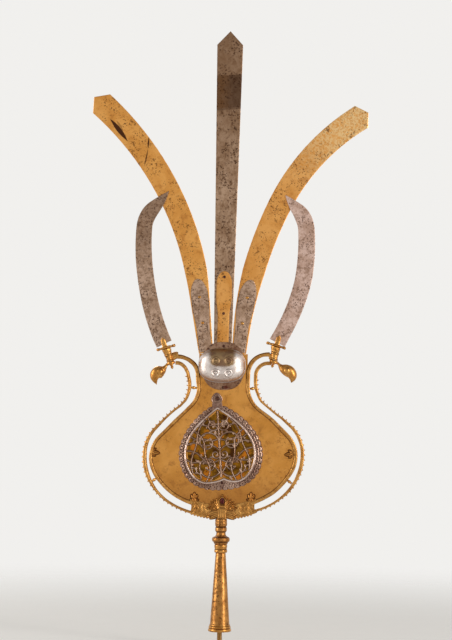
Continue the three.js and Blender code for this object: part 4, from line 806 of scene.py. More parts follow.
def makeFootRing():
    # its runs on the socket's outside, dark in the grooves between them with patina and painted shade
    look, inner = ringLook, socketLook["foot"] + seam
    runs = [rounded(look["front"], 5), rounded(look["upper"], 5), rounded(look["lip"], 4)]
    ring = np.vstack([[(inner, 0), (look["foot"], 0)], *runs, [(inner, socketLook["ring"])]])
    deep = sum(unit(1 - np.abs(ring[:, 1:] - height) / width) for height, width in look["grooves"])
    p = turned(ring + [0, stand["mouth"]], 96)
    makePiece("footRingTurned", [surface(p, loop=True, deep=deep)], "giltCast", "foot_ring")


# Turned pieces: each profile is (radius, height over the piece's foot), in rounded runs that meet in grooves
turnedBore = 4.5
turnedShare = 0.96  # keeps the beaten surface inside the solid's box
turnedLooks = {
    "socket_collar": {"name": "collarTurned", "finish": "giltCast", "foot": 190.3, "runs": [
        [(10.6, 0), (12.3, 0.5), (13.4, 2.0), (13.7, 4.0), (13.3, 6.0), (12.5, 6.9)],
        [(12.6, 7.5), (12.9, 9.5), (13.4, 12.5), (13.6, 14.4), (13.2, 15.8), (12.4, 16.5)],
    ]},
    "knop": {"name": "knopTurned", "finish": "giltWorn", "foot": 207.1, "runs": [
        [(12.7, 0), (13.7, 1.2), (14.8, 3.2), (15.3, 4.6)],
        [(15.6, 5.0), (17.6, 6.3), (18.5, 8.5), (18.6, 10.3), (18.3, 12.2), (17.2, 14.0), (15.6, 15.0)],
        [(14.6, 15.3), (12.7, 16.3), (11.5, 17.5), (10.9, 18.5)],
    ]},
    "neck_ferrule": {"name": "ferruleTurned", "finish": "giltWorn", "foot": 225.9, "leaves": 17.6, "runs": [
        [(10.6, 0), (9.9, 2.2), (9.8, 4.6), (10.7, 6.8)],
        [(11.2, 7.2), (12.1, 8.6), (12.3, 11.2), (12.1, 14.2), (11.4, 15.7)],
        [(10.7, 16.2), (10.6, 17.0)],
        [(11.5, 17.4), (12.2, 18.8), (12.5, 22), (12.4, 27), (12.1, 32)],
    ]},
}


def makeTurned(node, look):
    # a reeded profile on a plain bore, its surface a little uneven as if beaten
    runs = look["runs"]
    profile, deep = reeded(runs, (turnedBore, 0), (turnedBore, runs[-1][-1][1]), 1.0)
    p = turned(profile * [turnedShare, 1] + [0, look["foot"]], 96)
    angle = np.arctan2(p[..., 1], p[..., 0])
    beaten = 1 + 0.004 * (ripple(angle * 9 + p[..., 2], 7, 5) - 1)
    if "leaves" in look:  # chased leaves that lean both ways round the upper barrel
        up = p[..., 2] - look["foot"] - look["leaves"]
        leafy = np.cos(8 * angle + 0.55 * up) * np.cos(8 * angle - 0.55 * up) * unit(up / 2)
        beaten = beaten + 0.03 * leafy - 0.012 * (up > 0)
        # the hollows between the leaves are marked dark: patina with painted shade
        deep = np.maximum(deep, unit(-leafy * 1.1) * 0.7)
    p[1:-1, :, :2] *= beaten[1:-1, :, None]
    makePiece(look["name"], [surface(p, loop=True, deep=deep)], look["finish"], node)


makeStand()
makeSocket()
makeFootRing()
for node, look in turnedLooks.items():
    makeTurned(node, look)
print("socket and turned pieces made")

# The shield's rim and crest
shieldFoot = 258.2
slope = radians(45)
rimLook = {
    "halfWidth": 144.5, "drop": 102.5, "midZ": 126.8, "side": 0, "shoulder": 55.5, "waistTurn": 52.5,
    "waist": 50, "neck": 26, "hornTurn": 38, "endX": 92.4, "startX": 58,
}
crestLook = {
    "halfWidth": 156, "drop": 121, "midZ": 123.8, "side": 6.6, "shoulder": 74, "waistTurn": 50,
    "waist": 66, "neck": 16, "hornTurn": 24, "endX": 96.0, "startX": 58,
}
toothLook = {  # they lie over up to the height lean, and stand upright from turn mm above it
    "pitch": 9.7, "tall": 3.7, "bead": 2.4, "sunk": 1.6, "lean": 165, "turn": 40, "end": 285, "endX": 72,
}
bandLead = 9  # how far the lines run on under the base band
linePoints = 420


def bellyZ(look, x):
    # the belly's height over the shield's foot: a quarter ellipse
    return look["midZ"] - look["drop"] * np.sqrt(1 - (x / look["halfWidth"]) ** 2)


def shieldLine(look):
    # the belly's quarter ellipse, then arcs and straight runs up the waist and out along the horn
    angles = np.linspace(np.arcsin(look["startX"] / look["halfWidth"]), pi / 2, 70)
    belly = np.stack([look["halfWidth"] * np.sin(angles), look["midZ"] - look["drop"] * np.cos(angles)], 1)
    turns = look["shoulder"] + look["waistTurn"]
    straight = (look["halfWidth"] - look["waist"] - turns * (1 - cos(slope))) / sin(slope)
    runs = [(look["side"], 0), (look["shoulder"], 45), (straight, 0), (look["waistTurn"], -45)]
    runs += [(look["neck"], 0), (look["hornTurn"], -90), (look["endX"] - look["waist"] - look["hornTurn"], 0)]
    upper, _ = runLine((look["halfWidth"], look["midZ"]), 90, runs)
    return evenly(np.vstack([belly, upper[1:]]), linePoints) + [0, shieldFoot]


rimLine, crestLine = shieldLine(rimLook), shieldLine(crestLook)
# stops along each line: length, how far it is shifted inwards there, and its half width
rimStops = {
    "left": [
        (0, -1.8, 4.2), (24, -1.5, 3.9), (37, -0.9, 3.9), (64, 0.5, 3.8), (91, 0.8, 4.1), (118, 1.6, 4.1),
        (137, 3.4, 3.5), (150, 4.0, 3.6), (186, 4.4, 3.7), (213, 3.9, 3.9), (240, 4.1, 3.5), (267, 4.0, 3.9),
        (294, 2.6, 4.3), (310, 0.4, 4.6), (326, -0.6, 4.6), (340, -3.0, 4.5), (356, -6.0, 4.4),
        (372, -7.4, 4.0), (388, -6.8, 4.4), (402, -5.6, 5.2),
    ],
    "right": [
        (0, -0.7, 4.2), (24, 0.0, 4.1), (37, -0.3, 4.1), (64, 0.9, 4.1), (82, 0.7, 4.3), (96, -0.4, 4.4),
        (109, -1.5, 4.5), (123, -2.0, 4.5), (145, -2.3, 4.4), (186, -2.4, 4.4), (213, -2.4, 4.1),
        (225, -1.5, 3.8), (232, -0.4, 3.7), (246, 1.9, 3.6), (259, 2.6, 3.7), (273, 1.5, 3.9),
        (294, 0.9, 4.2), (318, 0.6, 4.4), (350, 0, 4.5), (378, 0, 3.8), (402, 0, 5.2),
    ],
}
crestStops = {
    "left": [
        (0, -0.2, 2.7), (24, -1.3, 2.6), (50, -2.3, 2.8), (77, -1.9, 2.9), (91, -1.1, 3.4), (118, 0.4, 4.2),
        (145, 1.2, 4.2), (172, 2.1, 3.7), (199, 2.6, 3.3), (213, 2.7, 3.2), (240, 1.8, 2.4), (255, 2.2, 2.3),
        (267, 3.0, 2.4), (280, 5.0, 2.3), (294, 4.2, 2.7), (310, 1.3, 3.2), (333, -1.2, 3.6),
        (346, -4.2, 3.5), (358, -5.6, 3.5), (370, -4.2, 3.6), (384, -1.2, 3.8), (400, -0.5, 3.8),
    ],
    "right": [
        (0, 2.5, 2.6), (24, 0.4, 2.4), (45, -0.7, 2.3), (60, -1.3, 2.5), (77, -2.3, 3.2), (104, -2.7, 3.2),
        (118, -3.0, 3.8), (131, -3.5, 3.8), (158, -4.5, 3.5), (186, -4.5, 3.3), (213, -4.5, 3.1),
        (240, -3.0, 2.4), (253, -0.7, 2.2), (267, 0.7, 2.2), (280, 2.1, 2.2), (294, 3.0, 2.4),
        (310, 0.7, 2.9), (334, 1.3, 3.6), (400, 0.4, 3.8),
    ],
}
# the front of each section, from its outer edge inwards: share of the half width, height, and how dark it is,
# as patina with painted shade, most in the rim's seam groove beside the sheet
rimFront = [
    (-1, 1.6, 0.5), (-0.99, 2.8, 0.15), (-0.88, 3.8, 0), (-0.62, 4.4, 0), (-0.3, 4.35, 0), (-0.05, 4.05, 0),
    (0.12, 3.9, 0.25), (0.24, 3.95, 0), (0.42, 3.7, 0.1), (0.58, 3.1, 0.6), (0.7, 2.8, 1), (0.84, 2.7, 1),
    (0.93, 2.8, 0.6), (1.0, 2.66, 0.2),
]
crestFront = [
    (-1, 1.2, 0.5), (-0.96, 2.1, 0.1), (-0.74, 3.0, 0), (-0.34, 3.4, 0), (0.06, 3.3, 0), (0.34, 2.85, 0.3),
    (0.46, 2.75, 0.5), (0.6, 2.8, 0.2), (0.8, 2.9, 0), (0.95, 2.3, 0.1), (1, 1.4, 0.5),
]
bridgeHeights = (79.8, 260.3)
saddleLook = {  # along X: where it starts and ends, stops of (x, half height), its half depth and height
    "start": 90.6, "end": {"left": 105, "right": 100}, "stops": [(94, 6.4), (99, 7.4)], "ends": (4.6, 7.0),
    "depth": 4.6, "z": 322, "climb": 5.0,
}


def banded(line, stops, front):
    # a band along the line: shifted and widened by the stops, with its front turned over for the back
    lengths, inwards, halves = np.array(stops, float).T
    where = lengthsOf(line) - bandLead
    line = line + leftOf(line) * np.interp(where, lengths, inwards)[:, None]
    half = np.interp(where, lengths, halves)
    face = rounded([(t, -y, d) for t, y, d in front], 3)
    face[:, 0] = face[:, 0].clip(-1, 1)
    whole = np.vstack([face, face[::-1] * [1, -1, 1]])
    return line, half, surface(sweep(line, whole[:, :2], half), caps=True, deep=unit(whole[None, :, 2]))


def spikes(line, half):
    # pointed beads outside the line at even steps: they lean down round the belly and up on the slope
    look, lengths = toothLook, lengthsOf(line)
    last = lengths[np.argmax((line[:, 1] > shieldFoot + look["end"]) & (line[:, 0] < look["endX"]))]
    where = np.arange(bandLead + look["pitch"] / 2, last, look["pitch"])
    ahead = np.gradient(line, axis=0)
    ahead /= np.linalg.norm(ahead, axis=1, keepdims=True)
    foot, out, run = (pointsAt(lengths, v, where)[:, :, None, None] for v in (line, -leftOf(line), ahead))
    upright = unit((foot[:, 1] - shieldFoot - look["lean"]) / look["turn"])
    s = np.array([0, 0.3, 0.6, 0.85, 1.0])[:, None]
    girth = np.array([1, 0.9, 0.6, 0.3, 0.0])[:, None]
    size, tall = look["bead"] - 0.8 * upright, look["tall"] * (0.66 + 0.34 * upright)
    a = size * girth * np.cos(circle(10)) - tall * (0.7 - upright) * s**1.4
    b = np.interp(where, lengths, half)[:, None, None] - look["sunk"] + (tall + look["sunk"]) * s
    y = (size * 0.6 + 0.9) * girth * np.sin(circle(10))
    x, z = (foot[:, k] + run[:, k] * a + out[:, k] * b for k in range(2))
    # each bead darker towards its foot: patina with painted shade
    return surface(grid(x, y, z), caps=True, deep=np.broadcast_to((1 - s) ** 3 * 0.8, x.shape))


def bridge(height):
    # a short collar from the rim to the crest: a bar whose girth swells at its middle
    i = np.argmax((rimLine[:, 1] > shieldFoot + height) & (rimLine[:, 0] > 45))
    foot, out = rimLine[i], -leftOf(rimLine)[i]
    gaps = crestLine - foot
    ahead, off = gaps @ out, np.abs(gaps @ np.array([-out[1], out[0]]))
    reach = ahead[np.argmin(off + (ahead < 0) * 1000)]  # the crest's point straight across
    line = foot + np.outer(np.linspace(0.12, 0.92, 17), out * reach)
    share = np.linspace(-1, 1, 17)
    girth = 2.3 + 1.1 * hill(share, 0.34) - 0.3 * hill(np.abs(share) - 0.55, 0.2)
    p = sweep(line, np.stack([np.cos(circle(20)), 1.15 * np.sin(circle(20))], 1), girth)
    p[..., 1] *= girth[:, None]
    return surface(p, caps=True)


def saddle(side):
    # the block between the horn's end and the grip: rounded oblong rings along X
    look, start, end = saddleLook, saddleLook["start"], saddleLook["end"][side]
    x = np.linspace(start, end, 9)[:, None]
    stops = [(start, look["ends"][0]), *look["stops"], (end, look["ends"][1])]
    size = np.interp(x, *zip(*stops))
    middle = shieldFoot + look["z"] + np.interp(x, [start, end], [look["climb"], 0])
    z = middle + size * 1.15 * soft(np.sin(circle(32)), 0.75)
    return surface(grid(x, look["depth"] * soft(np.cos(circle(32)), 0.75), z), caps=True)


def makeRimAndCrest(side, sign):
    _, _, rim = banded(rimLine, rimStops[side], rimFront)
    parts = mirrored([rim, *map(bridge, bridgeHeights), saddle(side)], sign)
    makePiece(f"{side}RimCast", parts, "giltCast", f"{side}_rim")
    line, half, crest = banded(crestLine, crestStops[side], crestFront)
    parts = mirrored([crest, spikes(line, half)], sign)
    makePiece(f"{side}CrestCast", parts, "giltCast", f"{side}_crest")


sides = (("left", -1), ("right", 1))
faces = (("front", -1), ("back", 1))
for side, sign in sides:
    makeRimAndCrest(side, sign)
print("rim and crest made")

# Base band, palmette and clips
bandLook = {
    "left": 60, "right": 66, "hollow": 4, "low": 3.15, "high": 4.35, "leafStep": 15.5,
    "under": 2.8, "over": 4.5,  # how far the band reaches past the crest's line and the rim's
    "leaves": [(52, 158, 17, 8, 50), (40, 150, 16, 8, 55), (28.5, 140, 15, 7.5, 60)],
}


def makeBaseBand():
    # between the crest's foot and the rim's: y rises and falls as leaning leaves between two raised edges
    look = bandLook
    v, share = np.linspace(0, 1, 25), np.linspace(-1, 1, 181)[:, None]
    x = np.where(share < 0, look["left"], look["right"]) * share
    x = x + np.sign(share) * share**8 * look["hollow"] * (2 * v - 1) ** 2
    foot, top = bellyZ(crestLook, x) - look["under"], bellyZ(rimLook, x) + look["over"]
    lean = np.abs(x) / look["leafStep"]
    stem = 0.5 + 0.24 * np.sin(2 * pi * lean)  # a stem waves along the band, and leaves fan off it
    off = (v - stem) / 0.24
    fan = np.cos(2 * pi * (lean * 2.9 + 0.9 * off)) * hill(np.abs(off) - 0.9)
    curl = np.cos(2 * pi * (lean * 1.45 - 0.8 * off)) * np.exp(-(off**2) / 3)
    edges = unit(hill(v - 0.04, 0.05) + hill(v - 0.95, 0.035) * 0.7)
    rise = unit(0.42 + 0.3 * fan + 0.2 * curl + 0.4 * hill(off, 0.25)) * (1 - edges) + edges
    y = look["low"] + (look["high"] - look["low"]) * rise
    # darker where the relief sinks and along the upper edge: patina with painted shade
    deep = np.maximum(unit((0.62 - rise) * 1.5), hill(v - 0.995, 0.02) * 0.8)
    parts = [twoFaced(x, -y, y, shieldFoot + foot + (top - foot) * v, caps=True, deep=deep)]
    for sign in (-1, 1):
        for x, heading, length, width, hook in look["leaves"]:
            one = leaf((x, shieldFoot + 5.4 + x * x / 420), heading, length, width, 3.4, 1.0, -hook)
            for _, face in faces:
                parts += mirrored(facing([one], face), sign)
    for sign in (-1, 1):
        for x in np.arange(22, 64, 6.2):
            parts.append(ball((sign * x, 0, shieldFoot + bellyZ(crestLook, x) - 2.3), 2.7, 1.1, 10, 7))
    makePiece("baseBandChased", parts, "giltCast", "base_band")


stoneLook = {"x": 1.6, "z": 37.3, "halfWidth": 3.9, "halfHeight": 7.6}
palmetteLook = {  # leaves are (foot's x and z, heading, length, width, hook) and beads (x, z, radius)
    "arch": [(0, 12), (4.6, 8.6), (9.6, 3), (12.2, -4), (11.2, -11), (8.6, -19)], "foot": 19.4,
    "levels": [
        (0, -6.9, 1), (0.42, -6.9, 1), (0.46, -7.2, 1), (0.56, -8.4, 0.2), (0.64, -8.3, 0), (0.72, -7.2, 0.8),
        (0.78, -7.0, 1), (0.86, -7.6, 0.3), (0.93, -8.1, 0), (0.98, -7.2, 0.2), (1, -6.0, 0.8), (1, -4.0, 1),
        (0, -4.0, 1),
    ],
    "fan": (2, 18, 34, 50, 66), "beads": [(28.0, 4.6, 2.3), (16, 20.6, 1.8)],
    "leaves": [(4, 14, -4, 27, 13, -40), (4, 9.5, -18, 24, 11.5, -26), (6, 19, 12, 22, 9, -30)],
}


def palmette(face):
    # a pointed arch with a raised lip round the stone, ribbed leaves fanned beside it, hooked leaves below
    look, z = palmetteLook, shieldFoot + stoneLook["z"]
    arch = look["arch"]
    outline = rounded([*arch, *[(-x, up) for x, up in arch[:0:-1]]], 8, closed=True) + [0, z]
    outline[:, 1] = outline[:, 1].clip(z - look["foot"], z + arch[0][1])
    # the arch's hollows and the stem's grooves are marked dark: patina with painted shade
    parts = [stacked(outline, (0, z - 1), look["levels"])]
    up = np.linspace(1.2, 20.5, 24)
    half = np.interp(up, [1.2, 4, 9, 14, 20.5], [9.2, 8.6, 7.6, 8.8, 9.6])
    t = np.linspace(-1, 1, 19)
    reed = 0.55 * np.abs(np.cos(2.5 * pi * t)) * (1 - t**6)
    section = np.vstack([np.stack([t, -(6.2 + 1.3 * (1 - t**4) + reed)], 1), [(1, -4.2), (-1, -4.2)]])
    groove = np.concatenate([1 - reed / 0.55, [1, 1]])
    stem = sweep(np.stack([0 * up, shieldFoot + up], 1), section, half)
    parts.append(surface(stem, caps=True, deep=groove[None] * 0.8))
    parts += [ball((-6.5 + 4.3 * k, -7.6, shieldFoot + 3.6), 1.5, 1.0, 10, 7) for k in range(4)]
    for sign in (-1, 1):
        for k, angle in enumerate(look["fan"]):
            one = leaf((4.5, z - 16.5), angle, 26.5 - k * 0.9, 7.0, 4.8, 3.4 + 0.2 * k, 10)
            parts += mirrored([one], sign)
        for x, above, angle, length, width, hook in look["leaves"]:
            one = leaf((x, shieldFoot + above), angle, length, width, 4.5, 2.7, hook, 3)
            parts += mirrored([one], sign)
        for x, above, radius in look["beads"]:
            parts.append(ball((sign * x, -6.2, shieldFoot + above), radius, 1.0, 12, 9))
    return [movedPart(part, (stoneLook["x"], 0, 0)) for part in facing(parts, face)]


def makeStone():
    # a drop cut with a flat table and one row of facets
    w, h, middle = stoneLook["halfWidth"], stoneLook["halfHeight"], (0, shieldFoot + stoneLook["z"])
    right = [(w * 0.45, h * 0.5), (w * 0.86, 0), (w, -h * 0.4), (w * 0.72, -h * 0.8)]
    outline = np.array([(0, h), *right, (0, -h), *[(-x, z) for x, z in right[::-1]]]) + middle
    levels = [(0, -8.9, 0), (0.5, -8.9, 0), (0.98, -7.9, 0), (1, -7.5, 0), (1, -7.15, 0), (0, -7.15, 0)]
    part = movedPart(stacked(evenly(outline, 24, closed=True), middle, levels), (stoneLook["x"], 0, 0))
    makePiece("stoneCut", [part], "garnet", "palmette_stone", sharp=12)


clipLook = {  # leaves are (x and z from the clip's middle, heading, length, width, rise, hook)
    "halfWidth": 140, "drop": 98, "midZ": 124.8, "baseX": {"left": 54.5, "right": 59.5},
    "side": (141.5, 130.8), "sideLeaves": [
        (0, 0, 180, 16.5, 8.0, 2.2, 8), (-2, 2, 128, 10, 4.6, 1.8, 40), (-2, -2, 226, 8, 4.2, 1.8, -30),
    ],
    "baseLeaves": [
        (0, 4, 92, 14, 6.5, 2.2, 0), (1, 5, 46, 10, 5, 1.9, 50), (-1, 5, 134, 10, 5, 1.9, -50),
        (0, -1.5, 90, 9, 10, 2.4, 0), (1, 1.5, 8, 8.5, 4.5, 1.6, 30), (-1, 1.5, 172, 8.5, 4.5, 1.6, -30),
    ],
}


def clip(x, z, leaves, beadAt, beadRadius):
    # each leaf on a slightly wider dark one, which shows as a line round it, a painted shadow; and a bead
    # over them
    parts = []
    for aside, up, heading, length, width, rise, hook in leaves:
        foot = (x + aside, z + up)
        under = leaf(foot, heading, length + 1.6, width + 3.0, 2.75, 0.35, hook)
        parts += [{**under, "marks": {"deep": 1.0}}, leaf(foot, heading, length, width, 2.9, rise, hook)]
    return [*parts, ball((x + beadAt[0], beadAt[1], z + beadAt[2]), beadRadius, 0.8, 12, 9)]


def makeClips(side, sign):
    # leaf-shaped clips that hold the sheet: a pointed one on the belly, a trefoil at the band's end
    x, z = clipLook["side"]
    parts = clip(x, shieldFoot + z, clipLook["sideLeaves"], (-3.1, -3.9, 0), 2.0)
    makePiece(f"{side}SideClipCast", mirrored(parts, sign), "clipGilt", f"{side}_side_clip")
    x = clipLook["baseX"][side]
    parts = clip(x, shieldFoot + bellyZ(clipLook, x), clipLook["baseLeaves"], (0, -4.4, 4.4), 2.5)
    makePiece(f"{side}BaseClipCast", mirrored(parts, sign), "clipGilt", f"{side}_base_clip")


makeBaseBand()
for name, face in faces:
    makePiece(f"{name}PalmetteCast", palmette(face), "giltCast", f"palmette_{name}")
makeStone()
for side, sign in sides:
    makeClips(side, sign)
print("base band, palmette and clips made")

# Cartouche, in its own frame and then leaned into place
cartouche = {"x": -4.6, "z": shieldFoot + 133.8, "lean": -4, "pinX": -3.5, "pins": (107, -62)}


def leaned(parts):
    # turned by the cartouche's lean and moved to its middle
    middle = (cartouche["x"], 0, cartouche["z"])
    return [movedPart(leanedPart(part, cartouche["lean"]), middle) for part in parts]


def bezier(start, curves, count=40):
    # cubic curves one after the other: (1-t)^3 a + 3 (1-t)^2 t b + 3 (1-t) t^2 c + t^3 d
    t = np.linspace(0, 1, count)[1:, None]
    parts, a = [np.array([start], float)], np.array(start, float)
    for values in curves:
        b, c, d = np.array(values, float).reshape(3, 2)
        parts.append((1 - t) ** 3 * a + 3 * (1 - t) ** 2 * t * b + 3 * (1 - t) * t**2 * c + t**3 * d)
        a = d
    return np.concatenate(parts)


openingCurves = [(25, 71, 70, 38, 70, -4), (70, -36, 50, -60.5, 28, -60.5), (15, -60.5, 6, -57.5, 0, -54)]
openingHalf = bezier((0, 88), openingCurves)
borderHalf = bezier((0, 96), [(48, 76, 80.6, 30, 80.6, -4), (80.6, -50, 50, -76.5, 0, -74.5)])
fringeLook = {  # rows of holes are (share of the way out, number, size, shift)
    "scallops": 42, "scallop": 2.4, "low": 3.1, "high": 4.9, "back": 2.9, "wider": 1.045,
    "rows": [(0.34, 84, 1.25, 0.0), (0.60, 84, 1.4, 0.5), (0.86, 42, 1.7, 0.5)], "loopZ": 107,
    "levels": [
        (0, -4.3, 0.4), (0.42, -4.3, 0.8), (0.5, -4.7, 0.4), (0.62, -4.9, 0), (0.72, -4.5, 0.5),
        (0.8, -4.5, 0.6), (0.9, -5.1, 0), (0.97, -4.8, 0.1), (1, -4.2, 0.7), (1, -2.9, 1), (0, -2.9, 1),
    ],
}


def wholeOutline(half, count):
    # one half mirrored, at even steps, from the top round by the right
    return evenly(np.vstack([half, half[-2:0:-1] * [-1, 1]]), count, closed=True)


def openingLine(count):
    # the heart-shaped opening; the notch at its foot sits to the right of the middle
    line = wholeOutline(openingHalf, count)
    line[:, 0] += 5 * hill(line[:, 0], 20) * unit((-line[:, 1] - 30) / 16)
    return line


def lace():
    # a domed ground round the opening with rows of round holes, and scallops at its outer edge
    look, count, steps = fringeLook, 1008, 27
    inner, outer = openingLine(count), wholeOutline(borderHalf, count)
    outer[:, 0] *= np.where(outer[:, 0] > 0, look["wider"], 1)  # the plate is a little wider on its right
    around = np.arange(count) / count
    scallops = look["scallop"] * np.abs(np.sin(pi * look["scallops"] * around)) ** 0.7
    outer = outer + leftOf(outer, True) * scallops[:, None]
    k = np.linspace(0, 1, steps)[:, None]
    flat = inner + (outer - inner) * k[..., None]
    length = lengthsOf(np.vstack([outer, outer[:1]]))[-1]
    wide = np.linalg.norm(outer - inner, axis=1)
    wander = 0.3 * ripple(around * 500, 21, 8)
    holes = np.zeros((steps, count))
    for out, number, size, shift in look["rows"]:
        step = (around * number + shift + wander) % 1 - 0.5
        dx, dz = step * length * (0.72 + 0.28 * out) / number, (k - out + 0.05 * wander) * wide
        holes = np.maximum(holes, np.exp(-((np.hypot(dx, dz) / size) ** 4)))
    edge = unit(np.minimum(k * 12, (1 - k) * 16)) ** 0.5
    ground = 0.55 + 0.25 * np.cos(2 * pi * (k * 3 - 0.1)) + 0.2 * ripple(around * 500, 9, 6)
    y = -(look["low"] + (look["high"] - look["low"]) * unit(ground) * (1 - holes) * edge)
    ends = flat[:: 1 - steps]
    back = grid(ends[..., 0], -look["back"], ends[..., 1])
    # painted shade in the holes and on the side walls; in the ground's hollows, stain with painted shade
    stain = unit(0.15 + 0.5 * ripple(around * 500, 37, 9))
    deep = np.concatenate([np.maximum(holes, stain * (1 - ground)), np.ones((2, count))])
    return surface(np.concatenate([grid(flat[..., 0], y, flat[..., 1]), back]), loop=True, deep=deep)


def makeFringe():
    # the lace, with a lobed disc over it on a neck; the disc's hollows are marked dark, patina with painted
    # shade
    angle, z = circle(72), fringeLook["loopZ"]
    lobes = 11.0 + 0.8 * np.cos(3 * (angle - pi / 2))
    disc = np.stack([lobes * np.cos(angle), z + lobes * np.sin(angle)], 1)
    neck = np.stack([np.zeros(12), np.linspace(84, 99, 12)], 1)
    section = np.array([(0, -4.7), (0.5, -4.4), (0.8, -4.9), (1, -4.2), (1, -2.9)])
    section = np.vstack([section[:0:-1] * [-1, 1], section])
    half = np.interp(neck[:, 1], [84, 91, 99], [15, 10.2, 9.8])
    parts = [lace(), stacked(disc, (0, z), fringeLook["levels"])]
    parts.append(surface(sweep(neck, section, half), caps=True))
    makePiece("cartoucheFringe", leaned(parts), "piercedSteel", "cartouche_border")


def makeBezel():
    # a smooth ridge round the opening, marked dark along its feet as painted shade
    front = [(-2.4, -4.6), (-2.2, -5.6), (-1.3, -6.9), (0.0, -7.4), (1.3, -6.9), (2.2, -5.6), (2.4, -4.6)]
    front = rounded(front, 4)
    section = np.vstack([front, [(1.5, -3.8), (-1.5, -3.8)]])
    deep = np.concatenate([unit((np.abs(front[:, 0]) - 1.9) / 0.5), [1, 1]]) * 0.7
    part = surface(sweep(openingLine(360)[::-1], section, closed=True), loop=True, deep=deep[None])
    makePiece("cartoucheBezelRidge", leaned([part]), "brightSteel", "cartouche_bezel")


# scrolls: where the stem meets the curl, its radius and first angle, its turns and how far it winds in
scrollLooks = [
    {"up": -36, "radius": 25, "start": 200, "turns": 1.35, "inward": 0.78, "leaves": (0.12, 0.25, 0.38, 0.5)},
    {"up": 16, "radius": 23, "start": 190, "turns": -1.3, "inward": 0.78, "leaves": (0.12, 0.25, 0.38, 0.5)},
    {"up": 50, "radius": 12, "start": 200, "turns": 1.15, "inward": 0.72, "leaves": (0.2, 0.45)},
    {"up": -8, "radius": 9, "start": 205, "turns": 1.05, "inward": 0.7, "leaves": (0.3,)},
]
# crossing stems: start, end, and how far the middle bows to the left; each carries leaves
branchLooks = [
    ((0, -50), (66, 6), 9), ((0, -14), (70, -10), -8), ((0, 2), (67, 16), 9), ((0, 28), (57, 35), -7),
    ((0, 46), (46, 50), 8), ((42, -55), (62, -28), 8), ((20, 70), (0, 56), 4), ((30, -58), (48, 44), 14),
    ((24, 66), (56, -40), 10),
]
traceryLook = {"half": 1.05, "base": 3.9, "rise": 1.25, "leaf": (9.5, 4.8), "lean": 38}


def strip(line, half):
    # a half-round strip, its sides marked dark, and a painted shadow on the backing at both sides
    angle = np.linspace(pi, 0, 9)
    front = np.stack([np.cos(angle), -(traceryLook["base"] + traceryLook["rise"] * np.sin(angle))], 1)
    section = np.vstack([[(-1.95, -3.72), (-1.9, -3.84)], front, [(1.9, -3.84), (1.95, -3.72)]])
    deep = np.concatenate([[1, 1], (1 - np.sin(angle)) ** 2 * 0.8, [1, 1]])
    return surface(sweep(line, section, half), caps=True, deep=deep[None])


def scroll(one):
    # a curl whose radius falls evenly with its angle, a bead at its end, leaves outside and inside in turn
    look, share, start = traceryLook, np.linspace(0, 1, 90), radians(one["start"])
    middle = np.array([-one["radius"] * cos(start), one["up"] - one["radius"] * sin(start)])
    angle = start + 2 * pi * one["turns"] * share
    r = one["radius"] * (1 - one["inward"] * share)
    line = middle + np.stack([r * np.cos(angle), r * np.sin(angle)], 1)
    end = ball((line[-1, 0], -4.4, line[-1, 1]), 2.5, 0.5, 14, 9)
    made = [strip(line, look["half"] * (1.15 - 0.35 * share)), end]
    for k, where in enumerate(one["leaves"]):
        i, way = int(where * 89), np.sign(one["turns"]) * (-1) ** k
        size, back = (0.7, 180) if k % 2 else (1.0, 0)
        length, width = np.array(look["leaf"]) * size * (1 - 0.25 * where)
        heading = np.degrees(angle[i]) + back + way * look["lean"]
        made.append(leaf(line[i], heading, length, width, look["base"], look["rise"], 24 * way))
    return made


def branch(number, start, end, bow):
    # a stem that bows to its left, each a little over the one before, with leaves on either side in turn
    look, t = traceryLook, np.linspace(0, 1, 50)[:, None]
    start, ahead = np.array(start, float), np.subtract(end, start)
    aside = np.array([-ahead[1], ahead[0]]) / np.linalg.norm(ahead)
    line = start + ahead * t + aside * bow * (np.sin(pi * t) + 0.3 * np.sin(3 * pi * t))
    stem = strip(line, look["half"] * (0.85 + 0.25 * t[:, 0]))
    made = [movedPart(stem, (0, -0.12 - 0.05 * number, 0))]
    heading = np.degrees(np.arctan2(ahead[1], ahead[0]))
    length, width = np.array(look["leaf"]) * (0.8, 0.85)
    for i, way in ((12, 1), (21, -1), (31, 1), (40, -1)):
        made.append(leaf(line[i], heading + 42 * way, length, width, look["base"], look["rise"], 20 * way))
    return made


def makeTracery():
    # a stem with curling scrolls on each side, under crossing stems
    stem = np.stack([np.zeros(60), np.linspace(-50, 82, 60)], 1)
    parts = [strip(stem, traceryLook["half"] * 1.25)]
    halves = [scroll(one) for one in scrollLooks] + [branch(k, *one) for k, one in enumerate(branchLooks)]
    for half in halves:
        parts += half + mirrored(half, -1)
    parts += [ball((0, -4.5, up), 2.6, 0.5, 14, 9) for up in (-28, 9, 36, 66)]
    makePiece("cartoucheScrollwork", leaned(parts), "traceryWire", "cartouche_tracery")


makeFringe()
makeBezel()
makeTracery()
print("cartouche made")

# Boss and its seats
bossLook = {
    "x": -2.5, "z": shieldFoot + 306.83, "halfWidth": 47.5, "halfHeight": 34.5, "foot": 4.8, "depth": 24.4,
    "inset": 1.04, "shell": 1.4, "square": 2.5, "full": 0.66,
}
roundelLook = {"at": [(-12.3, 9.5), (12.3, 9.5), (-13.0, -14.8), (13.0, -14.8)], "radius": 8.8}
seatLook = {"z": shieldFoot + 305.83, "halfWidth": 42, "halfHeight": 48}


def bossRise(x, z):
    # the dome's height over its flange at a point, from how far out the point lies on its oblong
    look = bossLook
    w, h = look["halfWidth"] - look["inset"], look["halfHeight"] - look["inset"]
    out = (np.abs(x / w) ** look["square"] + np.abs(z / h) ** look["square"]) ** (1 / look["square"])
    return look["foot"] + look["shell"] + look["depth"] * np.sqrt(unit(1 - out ** (2 / look["full"])))


